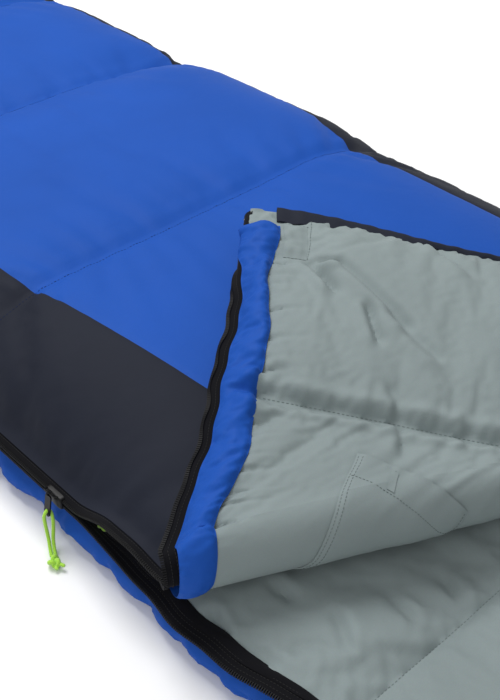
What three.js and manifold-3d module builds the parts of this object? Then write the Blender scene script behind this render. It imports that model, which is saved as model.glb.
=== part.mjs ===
// Rectangular sleeping bag, lying on the floor with the zip-side head corner of its top layer
// folded back. Millimetres, +Z up, +Y towards the foot, -X is the zip side.
// The origin is the middle of the footprint, on the floor.
import * as THREE from 'three';
import { mergeVertices } from 'three/addons/utils/BufferGeometryUtils.js';
import Module from 'manifold-3d';

const manifold = await Module();
manifold.setup();

// ---- driving dimensions -------------------------------------------------------------------
const BAG_LENGTH = 1900;
const LAYER_END = 946;             // each layer stops here, inside its binding, both ways along Y
const SEAM_X = 375;                // top of the bottom layer's side, both ways along X
const BOTTOM_HEIGHT = 38;          // thickness of the bottom layer
const SKIN = 2.2;                  // shell and lining cloth, with the fibre that clings to it
const GAP = 0.4;                   // between pieces that touch

const TOP_ZIP_X = -369.5;          // zip-side edge of the top layer
const TOP_FAR_X = 372;             // far edge of the top layer
const TOP_THICKNESS = 30;
const TOP_EDGE_THICKNESS = 14;     // where the top layer is sewn down to its zip
const EDGE_TAPER = 60;             // width over which it thickens

const FAR_EDGE_MID = 46;           // height of the top layer's middle where it meets the bottom
const FREE_EDGE_RISE = 18;         // it stands this much higher along the zip and the fold
const ARCH_RISE = 76;              // loft of the top layer over the empty inside
const ZIP_SHOULDER = 170;          // widths over which the arch climbs from each edge
const FAR_SHOULDER = 200;
const FOOT_SHOULDER = 200;
const FOLD_SHOULDER = 110;

const FOLD_START = new THREE.Vector2(-375, -497.5);   // where the fold crosses the zip side
const FOLD_ANGLE = THREE.MathUtils.degToRad(-26);     // run of the fold line, from +X
const FOLD_AXIS_Z = 88;
const FOLD_RADIUS = 24;            // of the middle of the layer, as it turns over
const FLAP_CLIMB = 75;             // the flap lies on the arch, so it climbs away from the fold
const FLAP_SHOULDER = 220;
const FAR_CORNER_RADIUS = 80;

const FAR_PANEL_X = 275;           // seam between the centre and the far side panel
const ZIP_PANEL_TAPER = 0.119;     // the zip side panel widens towards the head

const ZIP_X = -385.3;              // centre of both zip coils
const COIL_RADIUS = 2;
const OPEN_COIL_Z = 39;            // height of the lower coil where the zip is open
const CLOSED_LIFT = 12;            // the closed zip is pulled up by the top layer
const LIFT_START = -440;           // the lower half of the zip climbs between these
const LIFT_END = -358;
const LOWER_COIL_Z = OPEN_COIL_Z + CLOSED_LIFT;
const COIL_PITCH_Z = 5.6;          // height from the lower coil to the upper one
const TAPE_THICKNESS = 1.2;
const SLIDER_Y = -325;

const OUTSIDE_BAG = 0x2a57b8;
const CHARCOAL = 0x2c3038;
const LINING = 0x7d8c8a;
const BLACK_TAPE = 0x15161a;
const LIME = 0xa5dc37;
const FIBRE = 0xe8e8e4;
const STEEL = 0xb9bcc0;

const bag = new THREE.Group();

// ---- helpers ------------------------------------------------------------------------------
const { lerp, clamp, smoothstep } = THREE.MathUtils;

function addPart(name, geometry, color, roughness = 0.75, metalness = 0) {
  const material = new THREE.MeshStandardMaterial({ color, roughness, metalness });
  const mesh = new THREE.Mesh(geometry, material);
  mesh.name = name;
  bag.add(mesh);
  return mesh;
}

// A closed slab over a grid of columns and rows. place(u, v, side) gives a point of its upper
// face (side 1) or of its lower face (side 0), for u and v from 0 to 1.
function slab(columns, rows, place) {
  const positions = [];
  const index = [];
  const at = (i, j, side) => side * (columns + 1) * (rows + 1) + j * (columns + 1) + i;
  for (const side of [0, 1]) {
    for (let j = 0; j <= rows; j++) {
      for (let i = 0; i <= columns; i++) {
        positions.push(...place(i / columns, j / rows, side).toArray());
      }
    }
  }
  const quad = (a, b, c, d) => index.push(a, b, c, a, c, d);
  for (let j = 0; j < rows; j++) {
    for (let i = 0; i < columns; i++) {
      const corners = (side) => [at(i, j, side), at(i + 1, j, side), at(i + 1, j + 1, side), at(i, j + 1, side)];
      const [a, b, c, d] = corners(1);
      const [e, f, g, h] = corners(0);
      quad(a, b, c, d);
      index.push(e, g, f, e, h, g);
    }
  }
  for (let i = 0; i < columns; i++) {
    quad(at(i, 0, 0), at(i + 1, 0, 0), at(i + 1, 0, 1), at(i, 0, 1));
    quad(at(i + 1, rows, 0), at(i, rows, 0), at(i, rows, 1), at(i + 1, rows, 1));
  }
  for (let j = 0; j < rows; j++) {
    quad(at(0, j + 1, 0), at(0, j, 0), at(0, j, 1), at(0, j + 1, 1));
    quad(at(columns, j, 0), at(columns, j + 1, 0), at(columns, j + 1, 1), at(columns, j, 1));
  }
  const geometry = new THREE.BufferGeometry();
  geometry.setAttribute('position', new THREE.Float32BufferAttribute(positions, 3));
  geometry.setIndex(index);
  return geometry;
}

// A profile drawn in X and Z, extruded along Y from yStart to yEnd.
function alongY(shape, yStart, yEnd, curveSegments = 6) {
  const depth = yEnd - yStart;
  const geometry = new THREE.ExtrudeGeometry(shape, { depth, bevelEnabled: false, curveSegments });
  return geometry.rotateX(Math.PI / 2).translate(0, yEnd, 0);
}

function rectangle(left, right, low, high) {
  const corners = [[left, low], [right, low], [right, high], [left, high]];
  return new THREE.Shape(corners.map(([x, z]) => new THREE.Vector2(x, z)));
}

function rodAlongY(x, z, radius, yStart, yEnd, sides = 8) {
  const geometry = new THREE.CylinderGeometry(radius, radius, yEnd - yStart, sides);
  return geometry.translate(x, (yStart + yEnd) / 2, z);
}

// ---- the quilt's own flat plan and the surface it lies on ----------------------------------
const alongFold = new THREE.Vector2(Math.cos(FOLD_ANGLE), Math.sin(FOLD_ANGLE));
const towardsFoot = new THREE.Vector2(-alongFold.y, alongFold.x);

const foldYAt = (x) => FOLD_START.y + (x - FOLD_START.x) * Math.tan(FOLD_ANGLE);
const fromFold = (x, y) => new THREE.Vector2(x, y).sub(FOLD_START).dot(towardsFoot);
const zipPanelXAt = (y) => TOP_ZIP_X + ZIP_PANEL_TAPER * (LAYER_END - y) + 1;
const shoulder = (distance, width) => 1 - Math.pow(1 - clamp(distance / width, 0, 1), 2.4);

function thicknessAt(x, y) {
  const edges = [x - TOP_ZIP_X, TOP_FAR_X - x, LAYER_END - y, LAYER_END + y];
  const full = edges.reduce((share, inside) => share * smoothstep(inside, 0, EDGE_TAPER), 1);
  return lerp(TOP_EDGE_THICKNESS, TOP_THICKNESS, full);
}

function lyingHeight(x, y) {
  const away = Math.max(fromFold(x, y), 0);
  const edge = Math.max(x - TOP_ZIP_X, 0);
  const rise = 1 - (1 - Math.exp(-edge / 120)) * (1 - Math.exp(-away / 60));
  const arch = shoulder(edge, ZIP_SHOULDER) * shoulder(TOP_FAR_X - x, FAR_SHOULDER)
    * shoulder(LAYER_END - y, FOOT_SHOULDER) * (1 - Math.exp(-away / FOLD_SHOULDER));
  return FAR_EDGE_MID + FREE_EDGE_RISE * rise + ARCH_RISE * arch;
}

// Each of these takes a place in the flat plan and a height above the layer's middle, on its
// outer side, and gives the point in space: for the part that lies, and the part folded back.
const lying = (x, y, above) => new THREE.Vector3(x, y, lyingHeight(x, y) + above);

function folded(x, y, above) {
  const away = Math.max(-fromFold(x, y), 0);
  const along = new THREE.Vector2(x, y).sub(FOLD_START).dot(alongFold);
  const plan = FOLD_START.clone().addScaledVector(alongFold, along).addScaledVector(towardsFoot, away);
  const drape = shoulder(TOP_FAR_X - x + 40, FAR_SHOULDER);
  const climb = FLAP_CLIMB * (1 - Math.exp(-away / FLAP_SHOULDER)) * drape;
  return new THREE.Vector3(plan.x, plan.y, FOLD_AXIS_Z + FOLD_RADIUS + climb - above);
}

// The roll that joins them: turn is 0 under the axis and 1 over it.
function rolled(x, turn, above) {
  const start = FOLD_START.clone().addScaledVector(alongFold, (x - FOLD_START.x) / alongFold.x);
  const angle = -Math.PI * lerp(0.5, 1.5, lerp(0.004, 0.996, turn));
  const radius = FOLD_RADIUS - above;
  const plan = start.addScaledVector(towardsFoot, radius * Math.cos(angle));
  return new THREE.Vector3(plan.x, plan.y, FOLD_AXIS_Z + radius * Math.sin(angle));
}

// ---- one band of the top layer ------------------------------------------------------------
const ZIP_COLUMNS = 5;
const CENTRE_COLUMNS = 10;
const FAR_COLUMNS = 3;
const ALL_COLUMNS = ZIP_COLUMNS + CENTRE_COLUMNS + FAR_COLUMNS;
const seamLine = (column, y) => {
  if (column <= ZIP_COLUMNS) return lerp(TOP_ZIP_X, zipPanelXAt(y), column / ZIP_COLUMNS);
  const past = column - ZIP_COLUMNS;
  const crowded = (1 - Math.cos(Math.PI * past / CENTRE_COLUMNS)) / 2;
  if (past <= CENTRE_COLUMNS) return lerp(zipPanelXAt(y), FAR_PANEL_X, crowded);
  return lerp(FAR_PANEL_X, TOP_FAR_X, (past - CENTRE_COLUMNS) / FAR_COLUMNS);
};

function headHemY(x) {
  const inCorner = Math.max(x - (TOP_FAR_X - FAR_CORNER_RADIUS), 0);
  return -BAG_LENGTH / 2 + FAR_CORNER_RADIUS - Math.sqrt(FAR_CORNER_RADIUS ** 2 - inCorner ** 2);
}

// Where column and row cross in the flat plan, on the lying side of the fold or beyond it.
function planPoint(column, row, isFlap) {
  let x = 0;
  let y = 0;
  for (let pass = 0; pass < 8; pass++) {
    const edge = foldYAt(x) + (isFlap ? -GAP : GAP);
    y = isFlap ? lerp(headHemY(x), edge, row) : lerp(edge, LAYER_END, Math.pow(row, ROW_CROWDING));
    x = seamLine(column, y);
  }
  return [x, y];
}

const SKIN_LAYERS = {
  shell: (t) => [t / 2 - SKIN, t / 2],
  fill: (t) => [-t / 2 + SKIN + GAP, t / 2 - SKIN - GAP],
  lining: (t) => [-t / 2, -t / 2 + SKIN],
};
const LYING_ROWS = 16;
const ROW_CROWDING = 1.3;          // rows stand closer together near the fold
const FLAP_ROWS = 5;
const ROLL_STEPS = 6;
const ROLL_COLUMNS = 12;

function band(layer, firstColumn, lastColumn, isFlap) {
  const columns = lastColumn - firstColumn;
  const inset = GAP / 2;
  return slab(columns, isFlap ? FLAP_ROWS : LYING_ROWS, (u, v, side) => {
    let [x, y] = planPoint(firstColumn + u * columns, v, isFlap);
    if (u === 0 && firstColumn > 0) x += inset;
    if (u === 1 && lastColumn < ALL_COLUMNS) x -= inset;
    const above = SKIN_LAYERS[layer](thicknessAt(x, y))[side];
    return isFlap ? folded(x, y, above) : lying(x, y, above);
  });
}

function rollBand(layer) {
  return slab(ROLL_COLUMNS, ROLL_STEPS, (u, v, side) => {
    const x = lerp(TOP_ZIP_X, TOP_FAR_X, (1 - Math.cos(Math.PI * u)) / 2);
    return rolled(x, 1 - v, SKIN_LAYERS[layer](thicknessAt(x, foldYAt(x)))[side]);
  });
}

const PANELS = [
  ['zip_side', 0, ZIP_COLUMNS, CHARCOAL],
  ['centre', ZIP_COLUMNS, ZIP_COLUMNS + CENTRE_COLUMNS, OUTSIDE_BAG],
  ['far_side', ZIP_COLUMNS + CENTRE_COLUMNS, ALL_COLUMNS, CHARCOAL],
];

function addTopLayer() {
  for (const [part, isFlap] of [['top', false], ['flap', true]]) {
    for (const [panel, first, last, color] of PANELS) {
      addPart(`${part}_${panel}_panel`, band('shell', first, last, isFlap), color, 0.55);
    }
    addPart(`${part}_fill`, band('fill', 0, ALL_COLUMNS, isFlap), FIBRE, 1);
    addPart(`${part}_lining`, band('lining', 0, ALL_COLUMNS, isFlap), LINING, 0.8);
  }
  addPart('fold_shell', rollBand('shell'), OUTSIDE_BAG, 0.55);
  addPart('fold_fill', rollBand('fill'), FIBRE, 1);
  addPart('fold_lining', rollBand('lining'), LINING, 0.8);
}

// ---- the bottom layer ---------------------------------------------------------------------
const BULGE = 29;                  // how far the side's curve pulls out
const FOOTING = 3;                 // the side meets the floor this far inside the seam

// The bottom layer's section, taken in by inset from the outside.
function bottomSection(inset, top, openInside) {
  const seam = SEAM_X - inset;
  const foot = SEAM_X - FOOTING - inset * 0.3;
  const bulge = SEAM_X + BULGE - inset * 1.1;
  const pull = BOTTOM_HEIGHT * 0.37;
  const shape = new THREE.Shape();
  shape.moveTo(-seam, top);
  shape.quadraticCurveTo(-bulge, pull, -foot, inset);
  shape.lineTo(foot, inset);
  shape.quadraticCurveTo(bulge, pull, seam, top);
  if (openInside) {
    const inner = inset + SKIN;
    const innerFoot = SEAM_X - FOOTING - inner * 0.3;
    const innerBulge = SEAM_X + BULGE - inner * 1.1;
    shape.lineTo(SEAM_X - inner, top);
    shape.quadraticCurveTo(innerBulge, pull + inner * 0.3, innerFoot, inner);
    shape.lineTo(-innerFoot, inner);
    shape.quadraticCurveTo(-innerBulge, pull + inner * 0.3, -(SEAM_X - inner), top);
  }
  return shape;
}

const FACING_WIDTH = 15;
const FACING_THICKNESS = 1.5;
const BINDING_THICKNESS = BAG_LENGTH / 2 - LAYER_END - GAP;

function addBottomLayer() {
  const liningTop = BOTTOM_HEIGHT;
  const fillTop = BOTTOM_HEIGHT - SKIN - GAP;
  const fillInset = SKIN + GAP + 0.2;
  addPart('bottom_shell', alongY(bottomSection(0, BOTTOM_HEIGHT, true), -LAYER_END, LAYER_END), OUTSIDE_BAG, 0.55);
  addPart('bottom_fill', alongY(bottomSection(fillInset, fillTop, false), -LAYER_END, LAYER_END), FIBRE, 1);
  const liningX = SEAM_X - SKIN - GAP;
  const lining = rectangle(-liningX, liningX, liningTop - SKIN, liningTop);
  addPart('bottom_lining', alongY(lining, -LAYER_END, LAYER_END), LINING, 0.8);

  // The head end's binding turns over onto the lining as a facing.
  const outer = -BAG_LENGTH / 2;
  const section = new THREE.Shape();
  section.moveTo(outer, 1);
  section.lineTo(outer + BINDING_THICKNESS, 1);
  section.lineTo(outer + BINDING_THICKNESS, liningTop + GAP);
  section.lineTo(outer + FACING_WIDTH, liningTop + GAP);
  section.lineTo(outer + FACING_WIDTH, liningTop + GAP + FACING_THICKNESS);
  section.lineTo(outer, liningTop + GAP + FACING_THICKNESS);
  const width = GUARD_INNER_X + GAP;
  const depth = TOP_FAR_X - width;
  const hem = new THREE.ExtrudeGeometry(section, { depth, bevelEnabled: false });
  // The section's first axis runs along Y and its second along Z, so the sweep runs along X.
  hem.applyMatrix4(new THREE.Matrix4().makeBasis(
    new THREE.Vector3(0, 1, 0), new THREE.Vector3(0, 0, 1), new THREE.Vector3(1, 0, 0)));
  addPart('bottom_head_hem', hem.translate(width, 0, 0), CHARCOAL, 0.6);
}

// ---- seams that close the far side and the foot --------------------------------------------
function addSeams() {
  const welt = 2.2;
  const weltZ = BOTTOM_HEIGHT + welt + GAP;
  addPart('far_side_seam', rodAlongY(SEAM_X + 1.2, weltZ, welt, foldYAt(TOP_FAR_X), LAYER_END), CHARCOAL, 0.6);
  const binding = new THREE.BoxGeometry(2 * SEAM_X - 4, BINDING_THICKNESS, 50);
  binding.translate(0, LAYER_END + GAP + BINDING_THICKNESS / 2, 29);
  addPart('foot_end_binding', binding, CHARCOAL, 0.6);
}

// ---- the zip: tapes, coils, stops, guard strip and draft tube -------------------------------
const TAPE_OUTER_X = ZIP_X + COIL_RADIUS + GAP;
const GUARD_INNER_X = -357;
const UPPER_COIL_Z = LOWER_COIL_Z + COIL_PITCH_Z;
const LEVELLING = 34;
const TAPE_DROP = FAR_EDGE_MID + FREE_EDGE_RISE - UPPER_COIL_Z;
const ZIP_ROWS = LYING_ROWS - 1;     // the zip stops one row short of the foot
const rowY = (x, row) => lerp(foldYAt(x) + GAP, LAYER_END, Math.pow(row / LYING_ROWS, ROW_CROWDING));
const ZIP_FOOT_Y = rowY(TOP_ZIP_X, ZIP_ROWS);

// The upper tape leaves the layer's edge at its middle and slopes down to the lower coil, and
// it levels out as it nears the fold.
function tapeDrop(x, y) {
  const out = clamp((TOP_ZIP_X - GAP - x) / (TOP_ZIP_X - GAP - ZIP_X), 0, 1);
  return -TAPE_DROP * out * smoothstep(fromFold(x, y), 0, LEVELLING);
}

const hemY = -BAG_LENGTH / 2 + 2;
const UPPER_Y = {
  '': (x, v) => rowY(x, v * ZIP_ROWS),
  _flap: (x, v) => lerp(hemY, foldYAt(x) - GAP, v),
  _fold: (x) => foldYAt(x),
};
const UPPER_RUNS = {
  '': (x, v, above) => lying(x, UPPER_Y[''](x, v), above + tapeDrop(x, UPPER_Y[''](x, v))),
  _flap: (x, v, above) => folded(x, UPPER_Y._flap(x, v), above),
  _fold: (x, v, above) => rolled(x, 1 - v, above),
};
const RUN_STEPS = { '': ZIP_ROWS, _flap: FLAP_ROWS, _fold: ROLL_STEPS };

function upperStrip(run, left, right, low, high) {
  return slab(1, RUN_STEPS[run], (u, v, side) => UPPER_RUNS[run](lerp(left, right, u), v, side ? high : low));
}

// A coil of small section: an eight-sided rod. frameAt(share) gives its centre and the two
// directions across it.
function coil(steps, frameAt) {
  const sides = 8;
  const positions = [];
  const index = [];
  for (let j = 0; j <= steps; j++) {
    const { centre, outward, upward } = frameAt(j / steps);
    outward.setLength(COIL_RADIUS);
    upward.setLength(COIL_RADIUS);
    for (let k = 0; k < sides; k++) {
      const turn = 2 * Math.PI * k / sides;
      const point = centre.clone().addScaledVector(outward, Math.cos(turn)).addScaledVector(upward, Math.sin(turn));
      positions.push(...point.toArray());
    }
  }
  for (let j = 0; j < steps; j++) {
    for (let k = 0; k < sides; k++) {
      const [a, b] = [j * sides + k, j * sides + (k + 1) % sides];
      index.push(a, b, a + sides, b, b + sides, a + sides);
    }
  }
  const last = steps * sides;
  for (let k = 1; k < sides - 1; k++) {
    index.push(0, k + 1, k);
    index.push(last, last + k, last + k + 1);
  }
  const geometry = new THREE.BufferGeometry();
  geometry.setAttribute('position', new THREE.Float32BufferAttribute(positions, 3));
  geometry.setIndex(index);
  return geometry;
}

// The upper coil runs along its tape's outer edge.
function upperCoil(run) {
  return coil(RUN_STEPS[run], (v) => {
    const centre = UPPER_RUNS[run](ZIP_X, v, 0);
    const outward = UPPER_RUNS[run](ZIP_X - COIL_RADIUS, v, 0).sub(centre);
    const upward = UPPER_RUNS[run](ZIP_X, v, COIL_RADIUS).sub(centre);
    outward.z = run === '' ? 0 : outward.z;
    return { centre, outward, upward };
  });
}

// The lower half of the zip lies on the bottom layer where it is open, and climbs to the slider.
const closedLift = (y) => CLOSED_LIFT * smoothstep(y, LIFT_START, LIFT_END);
const CLIMB_STEPS = 8;

function lowerZipRows(start, end) {
  const climb = Array.from({ length: CLIMB_STEPS + 1 }, (_, k) => lerp(LIFT_START, LIFT_END, k / CLIMB_STEPS));
  return [start, ...climb, end];
}

function lowerCoil(rows) {
  return coil(rows.length - 1, (v) => {
    const y = rows[Math.round(v * (rows.length - 1))];
    const centre = new THREE.Vector3(ZIP_X, y, OPEN_COIL_Z + closedLift(y));
    return { centre, outward: new THREE.Vector3(-1, 0, 0), upward: new THREE.Vector3(0, 0, 1) };
  });
}

const SEWN_GAP = 2.4;               // clears the lining's facets
const TUBE_WIDTH = 47;
const TUBE_THICKNESS = { '': 9, _flap: 12, _fold: 10 };   // squashed where the bag lies on it

// The padded tube sewn to the lining behind the zip: flat against it, round on the other side.
function draftTube(run) {
  return slab(5, RUN_STEPS[run], (u, v, side) => {
    const x = TOP_ZIP_X + 1 + TUBE_WIDTH * u;
    const start = -thicknessAt(x, UPPER_Y[run](x, v)) / 2 - SEWN_GAP;
    const crown = 1 + (TUBE_THICKNESS[run] - 1) * Math.sqrt(1 - (2 * u - 1) ** 2);
    return UPPER_RUNS[run](x, v, side ? start : start - crown);
  });
}

function addZip() {
  for (const run of ['', '_flap', '_fold']) {
    const half = TAPE_THICKNESS / 2;
    const tape = upperStrip(run, TAPE_OUTER_X, TOP_ZIP_X - GAP, -half, half);
    addPart(`upper_zip_tape${run}`, tape, BLACK_TAPE, 0.9);
    addPart(`upper_zip_coil${run}`, upperCoil(run), BLACK_TAPE, 0.45);
    addPart(`draft_tube${run}`, draftTube(run), OUTSIDE_BAG, 0.55);
  }
  const lowerZ = BOTTOM_HEIGHT + GAP;
  const headY = -LAYER_END;
  const seamX = TOP_ZIP_X - 2.5;
  const rowsY = lowerZipRows(headY, ZIP_FOOT_Y);
  addPart('lower_zip_tape', slab(2, rowsY.length - 1, (u, v, side) => {
    const y = rowsY[Math.round(v * (rowsY.length - 1))];
    const z = lowerZ + closedLift(y) * (1 - u) + side * TAPE_THICKNESS;
    return new THREE.Vector3(lerp(TAPE_OUTER_X, seamX, u), y, z);
  }), BLACK_TAPE, 0.9);
  const guard = rectangle(seamX + GAP, GUARD_INNER_X, lowerZ, lowerZ + TAPE_THICKNESS);
  addPart('lower_guard_strip', alongY(guard, headY, LAYER_END), BLACK_TAPE, 0.8);
  addPart('lower_zip_coil', lowerCoil(lowerZipRows(headY + 10, ZIP_FOOT_Y)), BLACK_TAPE, 0.45);

  // A crimped top stop ends each coil at the head, and one bottom stop joins both at the foot.
  const stopLength = 5;
  const lowerStop = new THREE.BoxGeometry(4.6, stopLength, 4.2);
  lowerStop.translate(ZIP_X, headY + 10 - GAP - stopLength / 2, OPEN_COIL_Z);
  addPart('lower_top_stop', lowerStop, STEEL, 0.3, 1);
  addPart('upper_top_stop', slab(1, 1, (u, v, side) => {
    const x = ZIP_X + lerp(-2.2, 2, u);
    return folded(x, hemY - GAP - stopLength * (1 - v), side ? 2 : -2);
  }), STEEL, 0.3, 1);
  const bottomStop = new THREE.BoxGeometry(6, 7, 10);
  bottomStop.translate(ZIP_X, ZIP_FOOT_Y + 5, LOWER_COIL_Z + COIL_PITCH_Z / 2);
  addPart('zip_bottom_stop', bottomStop, STEEL, 0.3, 1);
}

// ---- trim sewn to the lining ---------------------------------------------------------------
const LINING_TRIM = 1.5;

// A thin patch on the lining, over a range of the flat plan.
function liningPatch(columns, rows, xRange, yAt, lift, isFlap) {
  return slab(columns, rows, (u, v, side) => {
    const x = lerp(...xRange, u);
    const [low, high] = yAt(x);
    const y = lerp(low, high, v);
    const under = -thicknessAt(x, y) / 2 - SEWN_GAP - lift - (side ? 0 : LINING_TRIM);
    return isFlap ? folded(x, y, under) : lying(x, y, under);
  });
}

const POCKET = { left: -230, right: -80, opening: -638, base: -505 };

function addTrim() {
  const tubeEnd = TOP_ZIP_X + 1 + TUBE_WIDTH;
  const hem = (x) => [headHemY(x), headHemY(x) + FACING_WIDTH];
  const hemRange = [tubeEnd + 3, TOP_FAR_X - FAR_CORNER_RADIUS];
  addPart('head_hem_facing', liningPatch(12, 1, hemRange, hem, 0, true), CHARCOAL, 0.6);
  const patchY = () => [-BAG_LENGTH / 2 + FACING_WIDTH + 1, -877];
  addPart('corner_patch', liningPatch(2, 4, [tubeEnd + 3, tubeEnd + 30], patchY, 0, true), LINING, 0.8);

  // The pocket lies across the fold, so it has a part on each side of it.
  const reach = (x) => Math.max(foldYAt(x) - 2, POCKET.opening + 2);
  const pocketEnd = FOLD_START.x + (POCKET.opening + 4 - FOLD_START.y) / Math.tan(FOLD_ANGLE);
  const onFlap = (x) => [POCKET.opening, reach(x)];
  addPart('pocket_flap_part', liningPatch(6, 3, [POCKET.left, pocketEnd], onFlap, 0, true), LINING, 0.8);
  const underLayer = (x) => [foldYAt(x) + 2, POCKET.base];
  addPart('pocket_lower_part', liningPatch(6, 3, [POCKET.left, POCKET.right], underLayer, 0, false), LINING, 0.8);
  const tab = liningPatch(1, 2, [-194, -186], () => [-618, -602], LINING_TRIM + GAP, true);
  addPart('pocket_hook_tab', tab, BLACK_TAPE, 0.9);
}

// ---- slider, pullers and their cords -------------------------------------------------------
const SLIDER_LENGTH = 26;
const WALL_X = ZIP_X - COIL_RADIUS - 0.9;
const SLIDER_LOW = LOWER_COIL_Z - 4.8;
const SLIDER_HIGH = UPPER_COIL_Z + 4.9;
const PLATE = 2;
const WEB_THICKNESS = 1;

// Each bridge is a round bar along the zip, bent at both ends towards the slider's body.
const BRIDGE_RADIUS = 0.9;
const BRIDGE_REACH = 7;
const OUTER_BRIDGE = { x: ZIP_X - 7.5, z: SLIDER_HIGH + 3.4, footX: ZIP_X - 3.2, footZ: SLIDER_HIGH + 1 };
const INNER_BRIDGE = { x: ZIP_X + 10.8, z: LOWER_COIL_Z - 0.5, footX: ZIP_X + 5.6, footZ: LOWER_COIL_Z + 0.7 };

const PULLER_WIDTH = 9;
const PULLER_THICKNESS = 1.8;
const PULLER_LENGTH = 28;
const CORD_EYE = { distance: 22.5, radius: 2.5 };
const PIVOT_EYE = { radius: 2.6, wire: 0.8 };
const CORD_DIAMETER = 3.4;

function solidOf(geometry) {
  const bare = geometry.clone();
  bare.deleteAttribute('normal');
  bare.deleteAttribute('uv');
  const merged = mergeVertices(bare, 1e-4);
  const vertProperties = new Float32Array(merged.attributes.position.array);
  const triVerts = new Uint32Array(merged.index.array);
  return new manifold.Manifold(new manifold.Mesh({ numProp: 3, vertProperties, triVerts }));
}

function joined(first, second) {
  const mesh = solidOf(first).add(solidOf(second)).getMesh();
  const geometry = new THREE.BufferGeometry();
  geometry.setAttribute('position', new THREE.Float32BufferAttribute(mesh.vertProperties, 3));
  geometry.setIndex([...mesh.triVerts]);
  return geometry;
}

function tube(points, radius, steps, sides = 8) {
  const corner = (k) => new THREE.Vector2(Math.cos(2 * Math.PI * k / sides), Math.sin(2 * Math.PI * k / sides));
  const round = new THREE.Shape(Array.from({ length: sides }, (_, k) => corner(k).multiplyScalar(radius)));
  const path = new THREE.CatmullRomCurve3(points.map(([x, y, z]) => new THREE.Vector3(x, y, z)));
  return new THREE.ExtrudeGeometry(round, { steps, extrudePath: path });
}

function bridge({ x, z, footX, footZ }) {
  const bar = [-1, -0.5, 0, 0.5, 1].map((share) => [x, SLIDER_Y + share * BRIDGE_REACH, z]);
  const foot = (y) => [footX, SLIDER_Y + y, footZ];
  return tube([foot(-BRIDGE_REACH - 2), ...bar, foot(BRIDGE_REACH + 2)], BRIDGE_RADIUS, 14, 6);
}

function addSlider() {
  // The body is a channel round both coils, open towards the tapes, with a web between them.
  const outerX = WALL_X - PLATE;
  const lipX = ZIP_X + 1.2;
  const webZ = (LOWER_COIL_Z + UPPER_COIL_Z) / 2;
  const [webLow, webHigh] = [webZ - WEB_THICKNESS / 2, webZ + WEB_THICKNESS / 2];
  const channel = [[outerX, SLIDER_LOW], [ZIP_X, SLIDER_LOW], [ZIP_X, SLIDER_LOW + PLATE],
    [WALL_X, SLIDER_LOW + PLATE], [WALL_X, webLow], [ZIP_X + 6, webLow], [ZIP_X + 6, webHigh],
    [WALL_X, webHigh], [WALL_X, SLIDER_HIGH - PLATE], [lipX, SLIDER_HIGH - PLATE],
    [lipX, SLIDER_HIGH], [outerX, SLIDER_HIGH]];
  const section = new THREE.Shape(channel.map(([x, z]) => new THREE.Vector2(x, z)));
  const start = SLIDER_Y - SLIDER_LENGTH / 2;
  addPart('slider_body', alongY(section, start, start + SLIDER_LENGTH), BLACK_TAPE, 0.4, 0.6);
  addPart('slider_outer_bridge', bridge(OUTER_BRIDGE), BLACK_TAPE, 0.4, 0.6);
  addPart('slider_inner_bridge', bridge(INNER_BRIDGE), BLACK_TAPE, 0.4, 0.6);
}

// A flat tab that hangs from its bridge by a round eye, with a second eye for the cord.
// angle turns it from hanging straight down, towards the outside of the bag.
function puller({ x, z }, angle) {
  const half = PULLER_WIDTH / 2;
  const corner = 2;
  const shape = new THREE.Shape();
  shape.moveTo(-half, PIVOT_EYE.radius + corner);
  shape.quadraticCurveTo(-half, PIVOT_EYE.radius, 0, PIVOT_EYE.radius);
  shape.quadraticCurveTo(half, PIVOT_EYE.radius, half, PIVOT_EYE.radius + corner);
  shape.lineTo(half, PULLER_LENGTH - corner);
  shape.absarc(half - corner, PULLER_LENGTH - corner, corner, 0, Math.PI / 2);
  shape.absarc(-half + corner, PULLER_LENGTH - corner, corner, Math.PI / 2, Math.PI);
  shape.holes.push(new THREE.Path().absarc(0, CORD_EYE.distance, CORD_EYE.radius, 0, 2 * Math.PI, true));
  const depth = PULLER_THICKNESS;
  const tab = new THREE.ExtrudeGeometry(shape, { depth, bevelEnabled: false, curveSegments: 6 });
  tab.translate(0, 0, -depth / 2);
  const acrossZip = new THREE.Vector3(0, 1, 0);
  const hang = new THREE.Vector3(-Math.sin(angle), 0, -Math.cos(angle));
  tab.applyMatrix4(new THREE.Matrix4().makeBasis(acrossZip, hang, acrossZip.clone().cross(hang)));
  const eye = new THREE.TorusGeometry(PIVOT_EYE.radius, PIVOT_EYE.wire, 8, 16).rotateX(Math.PI / 2);
  return joined(tab, eye).translate(x, SLIDER_Y, z);
}

// Each cord is a loop through the puller's eye, with both its ends in one knot.
const OUTER_PULLER_ANGLE = THREE.MathUtils.degToRad(12);
const INNER_PULLER_ANGLE = THREE.MathUtils.degToRad(-80);
const OUTER_CORD_ROUTE = [
  [-412.8, -346.6, 4.2], [-409.2, -339.6, 6.8], [-405.8, -333.4, 12.4], [-404.2, -329.4, 20.5],
  [-403.4, -327, 29.5], [-402.5, -325.8, 38.8], [-397.4, -325, 43.4], [-394, -325.4, 38.5],
  [-394.2, -327.4, 29.5], [-397, -330.4, 20.5], [-401.4, -334.8, 12.4], [-405.4, -341.2, 6.8], [-409, -348, 4.2]];
const INNER_CORD_ROUTE = [
  [-365.8, -374, 42], [-362.3, -367, 42], [-358.3, -358.5, 42], [-354.8, -349, 42], [-352.7, -339, 42.2],
  [-352.3, -330, 42.8], [-352.3, -325.6, 44.6], [-352.3, -326, 48.8], [-353.1, -333, 49.2], [-355.7, -343, 47.2],
  [-359.9, -354, 46.2], [-364.7, -364, 45.8], [-368.5, -373, 45.5]];

function knot(x, y, z, size) {
  return new THREE.SphereGeometry(1, 10, 6).rotateX(Math.PI / 2).scale(...size).translate(x, y, z);
}

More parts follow.
